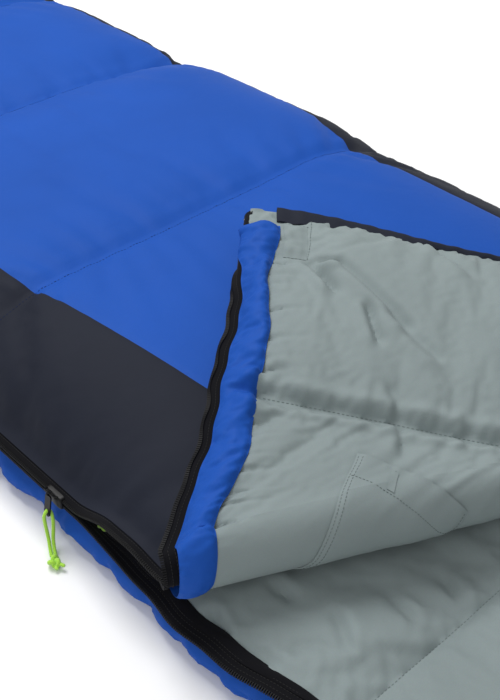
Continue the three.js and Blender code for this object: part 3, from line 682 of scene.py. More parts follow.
def relaxed(width, length, cell, pinned_at, growth, push, frames, bend, seed, crown=None):
    """Blender's cloth on a flat sheet that is growth too large for its pins, pushed up from below.
    width and length are (start, end). pinned_at(x, y) says which points are sewn down."""
    columns = round((width[1] - width[0]) / cell) + 1
    rows = round((length[1] - length[0]) / cell) + 1
    xs, ys = np.linspace(*width, columns), np.linspace(*length, rows)
    x, y = np.meshgrid(xs, ys)
    pinned = pinned_at(x, y, 0.51 * (xs[1] - xs[0]), 0.51 * (ys[1] - ys[0]))
    pinned[:, 0] = pinned[:, -1] = True
    z = np.random.default_rng(seed).normal(0, 0.0004, x.shape)
    if crown is not None:
        z = z + crown(x)
    z[pinned] = 0
    rest = np.stack([x, y, z], -1)
    index = np.arange(rows * columns).reshape(rows, columns)
    mesh = bpy.data.meshes.new("cloth")
    mesh.from_pydata(rest.reshape(-1, 3).tolist(), [], quads(index).tolist())
    sheet = link("cloth", mesh)
    group = sheet.vertex_groups.new(name="pin")
    group.add(np.flatnonzero(pinned.ravel()).tolist(), 1.0, "REPLACE")
    cloth = sheet.modifiers.new("cloth", "CLOTH")
    settings = cloth.settings
    settings.quality = 5
    settings.mass = 0.2
    settings.tension_stiffness = settings.compression_stiffness = 20
    settings.shear_stiffness = 7
    settings.bending_stiffness = bend
    settings.air_damping = 1
    settings.vertex_group_mass = "pin"
    settings.shrink_min = -growth
    settings.use_pressure = True
    settings.uniform_pressure_force = push
    settings.effector_weights.gravity = 0
    cloth.collision_settings.use_collision = False
    cloth.collision_settings.use_self_collision = False
    cloth.point_cache.frame_start, cloth.point_cache.frame_end = 1, frames
    for step in range(1, frames + 1):
        scene.frame_set(step)
    result = sheet.evaluated_get(bpy.context.evaluated_depsgraph_get()).to_mesh()
    moved = np.empty(rows * columns * 3)
    result.vertices.foreach_get("co", moved)
    bpy.data.objects.remove(sheet)
    bpy.data.meshes.remove(mesh)
    scene.frame_set(1)
    flat = np.stack([x, y, np.zeros_like(x)], -1)
    return Quilt(xs, ys, moved.reshape(rows, columns, 3) - flat)


def sewn_rows(lines, first, last):
    """Pins along quilt lines, and along both ends of the sheet."""
    def pinned_at(x, y, half_x, half_y):
        pinned = (y <= first + half_y) | (y >= last - half_y)
        for line in lines:
            pinned |= np.abs(y - line) <= half_y
        return pinned
    return pinned_at


def sewn_lining(x, y, half_x, half_y):
    """The top lining's pins: its quilt lines, and the square that is stitched at the zip corner."""
    pinned = sewn_rows(TOP_QUILT_LINES[:2], -LAYER_END, TOP_QUILT_LINES[1])(x, y, half_x, half_y)
    in_rows = (y <= PATCH["foot"] + half_y) & (y >= -LAYER_END)
    pinned |= in_rows & (np.abs(x - PATCH["right"]) <= half_x)
    pinned |= (x <= PATCH["right"]) & (np.abs(y - PATCH["foot"]) <= half_y)
    pinned |= (x <= PATCH["right"] + 0.002) & (np.abs(y - PATCH["head"]) <= half_y)
    return pinned


def near_line(x, y, start, end, ends):
    """(distance across from a line, and 1 along it fading to 0 past its ends)."""
    start, end = np.array(start), np.array(end)
    length = np.linalg.norm(end - start)
    ahead = (end - start) / length
    along = (x - start[0]) * ahead[0] + (y - start[1]) * ahead[1]
    across = (x - start[0]) * -ahead[1] + (y - start[1]) * ahead[0]
    return across, smooth(along / ends) * smooth((length - along) / ends)


# Creases that the folded corner's lining shows, as lines in the plan: start, end, depth and width.
LINING_CREASES = (
    ((-0.308, -0.866), (-0.268, -0.806), 0.0065, 0.0055),
    ((-0.278, -0.868), (-0.184, -0.775), 0.0070, 0.0070),
    ((-0.225, -0.800), (-0.150, -0.742), 0.0050, 0.0080),
    ((-0.243, -0.808), (-0.219, -0.742), 0.0060, 0.0055),
    ((-0.178, -0.946), (-0.122, -0.880), 0.0050, 0.0080),
    ((-0.212, -0.712), (-0.196, -0.690), 0.0040, 0.0050),
    ((-0.196, -0.700), (-0.180, -0.620), 0.0030, 0.0050),
    ((-0.304, -0.864), (-0.262, -0.858), 0.0065, 0.0050),
    ((-0.125, -0.700), (-0.118, -0.640), 0.0035, 0.0060),
    ((-0.010, -0.800), (0.060, -0.720), 0.0035, 0.0090),
    ((0.120, -0.930), (0.150, -0.850), 0.0035, 0.0080),
)


# The same for the bottom layer's lining, in front of the fold.
BOTTOM_CREASES = (
    ((-0.355, -0.520), (-0.370, -0.570), 0.0045, 0.0050),
    ((-0.300, -0.535), (-0.295, -0.580), 0.0045, 0.0060),
    ((-0.275, -0.600), (-0.300, -0.650), 0.0040, 0.0060),
    ((-0.225, -0.620), (-0.230, -0.670), 0.0040, 0.0060),
    ((-0.360, -0.580), (-0.350, -0.625), 0.0040, 0.0060),
    ((-0.165, -0.635), (-0.180, -0.685), 0.0040, 0.0070),
)


def creased(x, y, creases):
    """Height that a lining's creases add: a valley with a low swell beside it."""
    height = np.zeros(np.broadcast(x, y).shape)
    for start, end, depth, width in creases:
        across, on = near_line(x, y, start, end, 0.018)
        height -= 1.25 * on * depth * np.exp(-(across / width) ** 2)
        height += on * depth * 0.8 * np.exp(-((across - 1.9 * width) / (1.3 * width)) ** 2)
    return height


LYING_PEAK = 0.0135                  # how high the padding stands, about, in each place
FLAP_PEAK = 0.015
HIDDEN_PEAK = 0.011
BOTTOM_PEAK = 0.016

BOTTOM_PERIOD = BOTTOM_QUILT_LINES[1] - BOTTOM_QUILT_LINES[0]
SIDE_DEPTH = 0.060
TUBE_RUN = 1.90
WHOLE_LENGTH = (-LAYER_END, LAYER_END)
TOP_WIDTH = (TOP_ZIP_X, TOP_FAR_X)
LINING_EDGE = SEAM_X - 0.003


def tube_crown(x):
    return 0.008 * np.sqrt(np.clip(1 - (2 * x / TUBE_WIDTH - 1) ** 2, 0, 1))


top_shell = relaxed(TOP_WIDTH, WHOLE_LENGTH, 0.0085, sewn_rows(TOP_QUILT_LINES, *WHOLE_LENGTH), growth=0.022,
                    push=5, frames=22, bend=3.0, seed=4)
top_lining = relaxed(TOP_WIDTH, (-LAYER_END, TOP_QUILT_LINES[1]), 0.0062, sewn_lining, growth=0.034,
                     push=4, frames=24, bend=0.4, seed=7)
bottom_lining = relaxed((-LINING_EDGE, LINING_EDGE), (-LAYER_END, BOTTOM_QUILT_LINES[1]), 0.0075,
                        sewn_rows(BOTTOM_QUILT_LINES[:2], -LAYER_END, BOTTOM_QUILT_LINES[1]),
                        growth=0.034, push=3, frames=22, bend=0.4, seed=11)
side_strip = relaxed((0, SIDE_DEPTH), WHOLE_LENGTH, 0.0055, sewn_rows(BOTTOM_QUILT_LINES, *WHOLE_LENGTH),
                     growth=0.075, push=3, frames=20, bend=0.05, seed=13)
tube_strip = relaxed((0, TUBE_WIDTH), (0, TUBE_RUN), 0.0043, sewn_rows((), 0, TUBE_RUN), growth=0.030,
                     push=3, frames=18, bend=0.12, seed=17, crown=tube_crown)


def puckers(x, wave, other, phase):
    """Uneven short waves across a row of stitches."""
    return (np.sin(x / wave + phase + 2.0 * np.sin(x / 0.037)) + np.sin(x / other + 3 * phase)) / 2


def bulge(away, reach):
    """1 at reach from a line, and falling off both ways."""
    return away / reach * np.exp(1 - away / reach)


def quilted(x, y, depth, reach, seed):
    """What a row of quilting adds to a cloth's height: a sharp valley between two low ridges, and
    short puckers across it."""
    height = np.zeros(np.broadcast(x, y).shape)
    for k, line in enumerate(TOP_QUILT_LINES):
        away = np.abs(y - line)
        ridge = 0.85 * np.exp(-((away / reach - 1.35) / 0.75) ** 2)
        pucker = 0.34 * puckers(x, 0.0061, 0.0098, seed + 2.1 * k) * bulge(away, reach)
        height += depth * (pucker - np.exp(-away / (0.30 * reach)) + ridge)
    return height


def ruffle(run, seed):
    """An irregular row of small folds along a gathered seam, from -1 in a valley to 1 on a crest."""
    swing = (wave(run, 0.0193, seed) + 0.7 * wave(run, 0.0127, 2.3 * seed)
             + 0.6 * wave(run, 0.0310, 1.1 * seed)) / 2.3
    return 1 - 2 * hump(swing, -0.75, 0.33) * (swing < 0.6)


def gathered(x, y):
    """Small folds of the lining where it is gathered: beside the draft tube and at the head hem."""
    beside = np.exp(-np.maximum(x - (TOP_ZIP_X + TUBE_WIDTH), 0) / 0.016)
    height = 0.0016 * beside * (ruffle(y + 0.25 * x, 0.7) - 1)
    head = np.exp(-(y + 0.932) / 0.014) * (y > -0.95)
    return height + 0.0011 * np.minimum(head, 1) * (ruffle(x + 0.4 * y, 2.9) - 1)


def pinch(x, y):
    """0 where the layer is sewn flat along its outer edges, and 1 further in."""
    inside = np.minimum(np.minimum(x - TOP_ZIP_X, TOP_FAR_X - x), LAYER_END - np.abs(y))
    return smooth(inside / 0.03)


def shell_height(x, y, peak):
    rise, slide = top_shell.puff(x, y, peak)
    seam = np.minimum(np.abs(x - zip_panel_x(y)), np.abs(x - far_panel_x(y)))
    groove = 0.0009 * np.exp(-(seam / 0.0022) ** 2)
    sewn = quilted(x, y, 0.0016, 0.014, 0.3) * pinch(x, y)
    return EDGE_LOFT + 0.0025 * pinch(x, y) + np.maximum(rise + sewn, -0.001) - groove, slide


def lining_depth(x, y, peak, gathers=1.0):
    """How far the lining stands off the layer's middle, on its own side, and its slide."""
    wrapped = np.where(y > TOP_QUILT_LINES[1], TOP_QUILT_LINES[1] - np.mod(y - TOP_QUILT_LINES[1], 0.5), y)
    rise, slide = top_lining.puff(x, wrapped, peak)
    extra = creased(x, y, LINING_CREASES) * smooth((x - TOP_ZIP_X) / 0.05)
    extra = extra + quilted(x, y, 0.0062, 0.0105, 1.7) * pinch(x, y) + gathers * gathered(x, y)
    return EDGE_LOFT + 0.0025 * pinch(x, y) + np.maximum(rise + extra, -0.0024), slide


def roll_depth(x, turn, gathers=1.0):
    """lining_depth on the roll, which has a stretch of cloth of its own between its ends."""
    bow = np.sin(math.pi * turn)
    peak = lerp(FLAP_PEAK, 0.7 * FLAP_PEAK, bow)
    return lining_depth(x + 0.055 * bow, fold_y(x) + 0.055 * bow, peak, gathers)


# ---- grids over the top layer --------------------------------------------------------------------
FLAP_ROWS = (40, 48)                 # on each stretch between the head hem, a quilt line and the fold
FINE_FLAP_ROWS = (96, 76)
TOP_ROWS = (14, 66, 54, 44, 34)      # on each stretch from the fold over the quilt lines to the foot


def spread_rows(counts):
    """Shares of the way through each stretch, as (stretch, share) pairs without repeats."""
    out = []
    for k, count in enumerate(counts):
        shares = np.linspace(0, 1, count + 1)
        out += [(k, s) for s in (shares if k == 0 else shares[1:])]
    return out


def plan_grid(left, right, columns, counts):
    """(x, y) over one panel's plan, its rows along the quilt lines and along the fold. left and
    right give the panel's sides at y, columns the share across of each column, and counts the
    rows of each stretch."""
    shares = spread_rows(counts)
    columns = np.asarray(columns)
    x = np.zeros((len(shares), len(columns)))
    y = np.zeros_like(x)
    for _ in range(10):
        fold = fold_y(x)
        if counts is TOP_ROWS:
            ends = (np.full_like(x, line) for line in (*TOP_QUILT_LINES[1:], LAYER_END))
            marks = [fold, np.maximum(TOP_QUILT_LINES[0], fold), *ends]
        else:
            marks = [head_hem_y(x), np.minimum(TOP_QUILT_LINES[0], fold), fold]
        for r, (stretch, share) in enumerate(shares):
            y[r] = lerp(marks[stretch][r], marks[stretch + 1][r], share)
        x = lerp(left(y), right(y), columns[None, :])
    return x, y


def even(count):
    return np.linspace(0, 1, count + 1)


def with_edge(count, first=True, last=True, share=0.012):
    """Even columns, and one more close to the sides that meet another panel."""
    out = list(even(count))
    if first:
        out.insert(1, share)
    if last:
        out.insert(-1, 1 - share)
    return np.array(out)


PANELS = {
    "zip_side": (lambda y: SHELL_EDGE_X + 0 * y, zip_panel_x, with_edge(26, first=False), "charcoal_shell"),
    "centre": (zip_panel_x, far_panel_x, with_edge(66), "blue_shell"),
    "far_side": (far_panel_x, lambda y: TOP_FAR_X + 0 * y, with_edge(13, last=False),
                 "charcoal_shell"),
}


def joint_blend(piece):
    """Bakes piece's placement into its mesh; piece stays as it is built round the fold."""
    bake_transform(piece)


def add_shells():
    turns = np.linspace(0, 1, 13)
    for panel, (left, right, columns, slot) in PANELS.items():
        for is_flap in (False, True):
            x, y = plan_grid(left, right, columns, FLAP_ROWS if is_flap else TOP_ROWS)
            height, slide = shell_height(x, y, HIDDEN_PEAK if is_flap else LYING_PEAK)
            place = folded if is_flap else lying
            part = "flap" if is_flap else "top"
            piece = between(f"{part}_{panel}_shell", place, x, y, height, height - CLOTH, slot, slide,
                            weld=True)
            nodes = [f"{part}_{panel}_panel"]
            if panel == "centre" and not is_flap:
                nodes.append("top_fill")
            show(piece, "flap" if is_flap else "bag", slot, *nodes)
        # The same panel inside the roll.
        x, y = plan_grid(left, right, columns, TOP_ROWS)
        x, y = x[0], y[0]
        x_grid, turn = np.meshgrid(x, turns)
        y_grid = np.broadcast_to(y, x_grid.shape)
        tight = lerp(LYING_PEAK, HIDDEN_PEAK, smooth(turn))
        height, slide = shell_height(x_grid, y_grid, tight)
        piece = between(f"fold_{panel}_shell", rolled, x_grid, turn, height, height - CLOTH, slot, slide,
                        run=y_grid + turn * 0.03)
        joint_blend(piece)
        show(piece, None, slot, *(["fold_shell", "fold_fill"] if panel == "centre" else []))


def add_linings():
    whole = (lambda y: TOP_ZIP_X + 0.0035 + 0 * y, lambda y: TOP_FAR_X + 0 * y)
    for is_flap, columns in ((False, even(74)), (True, even(240))):
        x, y = plan_grid(*whole, columns, FINE_FLAP_ROWS if is_flap else TOP_ROWS)
        if is_flap:
            depth, slide = lining_depth(x, y, FLAP_PEAK)
        else:
            near = 1 - smooth(from_fold(x, y) / 0.06)
            depth, slide = lining_depth(x, y, lerp(HIDDEN_PEAK, FLAP_PEAK, near))
        place = folded if is_flap else lying
        part = "flap" if is_flap else "top"
        piece = between(f"{part}_lining_cloth", place, x, y, -depth, CLOTH - depth, "lining", slide,
                        weld=True)
        nodes = ["flap_lining", "flap_fill"] if is_flap else ["top_lining"]
        show(piece, "flap" if is_flap else "bag", "lining", *nodes)
    x, y = plan_grid(*whole, even(240), TOP_ROWS)
    x_grid, turn = np.meshgrid(x[0], np.linspace(0, 1, 37))
    y_grid = np.broadcast_to(y[0], x_grid.shape)
    depth, slide = roll_depth(x_grid, turn)
    piece = between("fold_lining_cloth", rolled, x_grid, turn, -depth, CLOTH - depth, "lining", slide,
                    run=y_grid + turn * 0.1)
    joint_blend(piece)
    show(piece, None, "lining", "fold_lining")


# ---- draft tube ----------------------------------------------------------------------------------
ROLL_LENGTH = math.pi * (FOLD_RADIUS + 0.02)
TUBE_LEFT_X = TOP_ZIP_X - 0.0032
TUBE_COLUMNS = 14


def tube_section(x, y, run, squash, narrow, turn=None):
    """(depth of the tube's outer side and of its base, and the slides of both), run along the tube."""
    puffed = tube_strip.at(x - TUBE_LEFT_X, run)
    share = (x - TUBE_LEFT_X) / TUBE_WIDTH
    base, _ = lining_depth(x, y, FLAP_PEAK, 0) if turn is None else roll_depth(x, turn, 0)
    base = np.maximum(base, 0.0012) + 0.0006
    rise = np.maximum(puffed[..., 2], 0.0002) * squash
    rise = rise + 0.0008 * np.clip(share * (1 - share) * 30, 0, 1)
    left, right = np.exp(-share / 0.20), np.exp(-(1 - share) / 0.16)
    rise = rise + 0.0014 * ((ruffle(run + 0.12 * share * TUBE_WIDTH, 0.4) - 1) * left
                            + (ruffle(run, 4.4) - 1) * right) * np.clip(share * (1 - share) * 20, 0, 1)
    rise = np.maximum(rise, 0.0004)
    # It is sewn at its left edge, and its right one hangs free, nearly straight.
    shift = 0.006 * smooth((run - 0.33) / 0.08) + 0.0018 * wave(run, 0.155, 1) * share ** 2
    shift = shift - (0.014 + 0.024 * share) * narrow - 0.002
    shift = shift - 0.011 * share * hump(run, 0.11, 0.07)
    shift = np.stack([shift, 0 * shift], -1)
    return base + rise, base, shift + puffed[..., :2] * 0.55, shift


def add_draft_tube():
    across = TUBE_LEFT_X + TUBE_WIDTH * (1 - np.cos(np.pi * even(TUBE_COLUMNS))) / 2
    # On the folded part, from its head end to the fold.
    x, v = np.meshgrid(across, np.linspace(0, 1, 250))
    y = lerp(TUBE_HEAD_Y, fold_y(x), v)
    end = smooth((y - TUBE_HEAD_Y) / 0.007)
    start_narrow = 0.3                   # the tube slides over the tape towards the fold, and round it
    narrow = start_narrow * smooth(1 - (fold_y(x) - y) / 0.08)
    top, base, slide, shift = tube_section(x, y, y - TUBE_HEAD_Y, lerp(0.35, 1, end), narrow)
    piece = between("draft_tube_on_flap", folded, x, y, -top, -base, "blue_shell",
                    lerp(shift, slide, end[..., None]), shift, crisp=70)
    show(piece, "flap", "blue_shell", "draft_tube_flap")
    # Round the roll.
    x, turn = np.meshgrid(across, np.linspace(1, 0, 64))
    fold = fold_y(x)
    run = fold - TUBE_HEAD_Y + (1 - turn) * ROLL_LENGTH
    squash = 1 - 0.35 * (1 - turn) - 0.25 * np.sin(np.pi * turn)
    narrow = lerp(start_narrow, 1, smooth(1 - turn))
    top, base, slide, shift = tube_section(x, fold, run, squash, narrow, turn)
    piece = between("draft_tube_round_fold", rolled, x, turn, -top, -base, "blue_shell", slide, shift,
                    run=run, crisp=70)
    joint_blend(piece)
    show(piece, None, "blue_shell", "draft_tube_fold")
    # Under the lying part, to the foot end of the zip.
    x, v = np.meshgrid(across, np.linspace(0, 1, 250))
    fold = fold_y(x)
    y = lerp(fold, ZIP_FOOT_Y, v)
    run = y - TUBE_HEAD_Y + ROLL_LENGTH
    narrow = np.exp(-np.maximum(y - fold, 0) / 0.05)
    top, base, slide, shift = tube_section(x, y, run, 0.65 + 0 * y, narrow)
    piece = between("draft_tube_under_top", lying, x, y, -top, -base, "blue_shell", slide, shift,
                    run=run, crisp=70)
    show(piece, "bag", "blue_shell", "draft_tube")


# ---- zip tapes and coils -------------------------------------------------------------------------
TEETH_PITCH = 0.0023
TOOTH = (0.0008, 0.0020, 0.0016)     # half lengths along the coil, across it and up
TAPE_THICK = 0.0011
LOWER_TAPE_INNER_X = -0.3725
TAPE_STITCH = (0.0034, 0.0024)       # pitch and length


def lower_wave(y):
    """The open half of the lower zip wanders to and fro, past the slider."""
    open_run = smooth((-0.400 - y) / 0.08) * smooth((y + LAYER_END) / 0.06)
    sway = 0.015 * hump(y, -0.672, 0.045) - 0.0075 * hump(y, -0.525, 0.065)
    sway = sway - 0.005 * hump(y, -0.80, 0.05) + 0.0012 * wave(y, 0.071)
    return open_run * sway


def closed_lift(y):
    return CLOSED_LIFT * smooth((y - LIFT_START) / (LIFT_END - LIFT_START))


def upper_runs():
    """The upper zip's three stretches: (name, a function that gives the point and direction at an x,
    a share of the way along and a height, steps, body, the end of its nodes' names)."""
    def on_flap(x, v, height):
        return folded(x, lerp(-LAYER_END, fold_y(x), v), height)

    def round_fold(x, v, height):
        return rolled(x, 1 - v, height)

    def on_top(x, v, height):
        return lying(x, lerp(fold_y(x), ZIP_FOOT_Y, v), height)

    return (("flap", on_flap, 150, "flap", "_flap"), ("fold", round_fold, 20, None, "_fold"),
            ("top", on_top, 330, "bag", ""))


def add_upper_zip():
    half = 0.0005
    for name, place, steps, body, node in upper_runs():
        columns = np.array([TAPE_OUTER_X - 0.001, -0.3795, -0.3765, -0.3735, -0.3705, TAPE_INNER_X])
        x, v = np.meshgrid(columns, np.linspace(0, 1, steps + 1))
        outer, _ = place(x, v, half + 0 * x)
        inner, _ = place(x, v, -half + 0 * x)
        tape = slab(f"upper_tape_{name}", outer, inner, "zip_tape", np.stack([x, outer[..., 1]], -1))
        show(tape, body, "zip_tape", f"upper_zip_tape{node}")
        line, up = place(np.full(900, ZIP_X), np.linspace(0, 1, 900), np.zeros(900))
        table = resample(np.concatenate([line, up], 1), TEETH_PITCH)
        places, up = table[:, :3], unit(table[:, 3:])
        along = unit(np.gradient(places, axis=0))
        teeth = bricks(f"upper_coil_{name}", places, along, up, TOOTH, "zip_coil")
        show(teeth, body, "zip_coil", f"upper_zip_coil{node}")
        pieces = [tape, teeth]
        for k, x_row in enumerate((-0.3735, -0.3790)):
            line, up = place(np.full(600, x_row), np.linspace(0.004, 0.996, 600), np.full(600, half))
            for side, sign in (("out", 1), ("in", -1)):
                shifted = line - up * (0 if sign > 0 else 2 * half)
                row = stitches(f"upper_tape_stitch_{name}_{side}_{k + 1}", shifted, up * sign, "grey_thread",
                               None, *TAPE_STITCH, width=0.00056, tall=0.0003)
                show(row, body, "zip_tape")
                pieces.append(row)
        if body is None:
            for piece in pieces:
                joint_blend(piece)


def add_lower_zip():
    low = BOTTOM_HEIGHT + 0.0004
    y = np.linspace(-LAYER_END, ZIP_FOOT_Y, 360)
    columns = np.array([TAPE_OUTER_X - 0.001, -0.3800, -0.3765, LOWER_TAPE_INNER_X])
    x, yy = np.meshgrid(columns, y)
    inside = np.clip((x - TAPE_OUTER_X) / (LOWER_TAPE_INNER_X - TAPE_OUTER_X), 0, 1)
    top = np.stack([x + lower_wave(yy), yy, low + TAPE_THICK + closed_lift(yy) * (1 - inside)], -1)
    tape = slab("lower_tape", top, top - [0, 0, TAPE_THICK], "zip_tape", np.stack([x, yy], -1))
    show(tape, "bag", "zip_tape", "lower_zip_tape")
    # The guard strip swells a little across, and its inner edge wanders too.
    y = np.linspace(-LAYER_END, LAYER_END, 380)
    share, yy = np.meshgrid(even(6), y)
    ripple = 0.0009 * wave(yy, 0.19) + 0.0005 * wave(yy, 0.047)
    inner_x = GUARD_INNER_X + ripple - 0.003 * hump(yy, -0.52, 0.04)
    x = lerp(-0.3735 + lower_wave(yy), inner_x + lower_wave(yy) * 0.6, share)
    swell = 0.0016 * np.sin(np.pi * share) + 0.0006 * wave(yy, 0.061, 4 * share)
    top = np.stack([x, yy, low + 0.0020 + swell], -1)
    guard = slab("guard_strip", top, top - [0, 0, CLOTH], "zip_tape", np.stack([x, yy], -1))
    show(guard, "bag", "zip_tape", "lower_guard_strip")
    y = np.arange(-LAYER_END + 0.011, ZIP_FOOT_Y, TEETH_PITCH)
    places = np.stack([ZIP_X + lower_wave(y), y, OPEN_COIL_Z + closed_lift(y)], -1)
    up = upwards(places)
    teeth = bricks("lower_coil", places, unit(np.gradient(places, axis=0)), up, TOOTH, "zip_coil")
    show(teeth, "bag", "zip_coil", "lower_zip_coil")
    for k, x_row in enumerate((-0.3795, -0.3745, -0.3715)):
        y = np.linspace(-LAYER_END + 0.002, ZIP_FOOT_Y if k < 2 else LAYER_END - 0.002, 700)
        lift = 0.0024
        if k < 2:
            outwards = (LOWER_TAPE_INNER_X - x_row) / (LOWER_TAPE_INNER_X - TAPE_OUTER_X)
            lift = TAPE_THICK + closed_lift(y) * outwards
        path = np.stack([x_row + lower_wave(y), y, low + lift + 0 * y], -1)
        up = upwards(path)
        stitches(f"lower_tape_stitch_{k + 1}", path, up, "grey_thread", "bag", *TAPE_STITCH, width=0.00055)


# ---- bottom layer --------------------------------------------------------------------------------
FLOOR_X = 0.366                      # where the bottom layer's side meets the floor


def bottom_side(t):
    """The side's section, t from 0 at the top seam to 1 at the floor: (out from the middle, height)."""
    out = (1 - t) ** 2 * SEAM_X + 2 * t * (1 - t) * 0.401 + t ** 2 * FLOOR_X
    height = (1 - t) ** 2 * BOTTOM_HEIGHT + 2 * t * (1 - t) * 0.014
    return out, height


def end_round(y, depth=0.030):
    """1 along the bag, falling to 0 at both ends, as a pinched edge does."""
    inside = np.clip((LAYER_END - np.abs(y)) / depth, 0, 1)
    return np.sqrt(np.clip(1 - (1 - inside) ** 2, 0, 1))


def bottom_shell_points(t, y, side, inset):
    """Points of one side; t runs on past 1 along the floor to the middle."""
    out, height = bottom_side(np.minimum(t, 1))
    moved = side_strip.at(np.clip(t, 0, 1) * SIDE_DEPTH, y * side)
    puff = np.tanh(np.maximum(moved[..., 3], 0) / 0.008) * 0.008 + 0.9 * (moved[..., 2] - moved[..., 3])
    slope = np.stack([0.9 + 0 * t, 0.35 - 0.75 * t], -1)
    slope /= np.linalg.norm(slope, axis=-1, keepdims=True)
    fade = np.sin(np.pi * np.clip(t, 0, 1)) ** 0.5
    push = (puff - 0.0035) * fade - inset
    out = out + slope[..., 0] * push
    height = np.where(t <= 1, height + slope[..., 1] * push, inset)
    height = np.maximum(height, np.where(t <= 1, 0.0002 + inset * t, inset))
    out = np.where(t > 1, FLOOR_X * (2 - t), out)
    rounding = end_round(y)
    height = BOTTOM_HEIGHT - (BOTTOM_HEIGHT - height) * rounding
    out = np.where(t <= 1, SEAM_X + (out - SEAM_X) * rounding, out)
    sway = np.where(side < 0, lower_wave(y) * np.clip(1 - t, 0, 1), 0)
    return np.stack([side * out + sway, y, height], -1)


def add_bottom():
    share = np.concatenate([even(13), 1 + even(6)[1:]])
    y = np.linspace(-LAYER_END, LAYER_END, 330)
    t, yy = np.meshgrid(share, y)
    grids = []
    for inset in (0, CLOTH):
        left = bottom_shell_points(t, yy, -1, inset)
        right = bottom_shell_points(t, yy, 1, inset)
        grids.append(np.concatenate([left, right[:, -2::-1]], 1))
    run = np.concatenate([share, 2 + (2 - share[-2::-1])]) * SIDE_DEPTH
    plan = np.stack(np.meshgrid(run, y), -1)
    shell = slab("bottom_shell_cloth", grids[0], grids[1], "blue_shell", plan)
    show(shell, "bag", "blue_shell", "bottom_shell", "bottom_fill")

    x, yy = np.meshgrid(np.linspace(-LINING_EDGE, LINING_EDGE, 200), lining_rows())
    base, slide = bottom_lining_height(x, yy)
    top = np.stack([x + slide[..., 0], yy + slide[..., 1], base], -1)
    lining = slab("bottom_lining_cloth", top, top - [0, 0, CLOTH], "lining", np.stack([x, yy], -1))
    show(lining, "bag", "lining", "bottom_lining")


def lining_rows():
    marks = [-LAYER_END, *BOTTOM_QUILT_LINES, LAYER_END]
    counts = [60, 130, 60, 60]
    rows = [np.linspace(a, b, n + 1)[:-1] for a, b, n in zip(marks, marks[1:], counts)]
    return np.concatenate([*rows, [LAYER_END]])


def bottom_lining_height(x, y):
    line = BOTTOM_QUILT_LINES[1]
    wrapped = np.where(y > line, line - BOTTOM_PERIOD + np.mod(y - line, BOTTOM_PERIOD), y)
    rise, slide = bottom_lining.puff(x, wrapped, BOTTOM_PEAK)
    inside = np.minimum(SEAM_X - np.abs(x), LAYER_END - np.abs(y))
    sunk = 0.0075 * smooth(inside / 0.07)
    last = smooth((LAYER_END - y) / 0.04)
    sewn = np.zeros(np.broadcast(x, y).shape)
    for k, line in enumerate(BOTTOM_QUILT_LINES):
        away = np.abs(y - line)
        pucker = (np.sin(x / 0.0064 + k + 2 * np.sin(x / 0.041)) + np.sin(x / 0.0101 + 2 * k)) / 2
        sewn += 0.0045 * (0.34 * pucker * bulge(away, 0.017) - 0.6 * np.exp(-away / 0.006))
    wide = 0.0022 * (np.sin(x * 31 + 3 * np.sin(y * 13)) + np.sin(y * 39 + x * 17 + 1))
    rise = rise + sewn * smooth(inside / 0.04) + wide * smooth(inside / 0.05)
    rise = np.maximum(rise + creased(x, y, BOTTOM_CREASES), -0.003)
    return BOTTOM_HEIGHT - 0.0004 - sunk + rise * last, slide * smooth(inside / 0.01)[..., None]


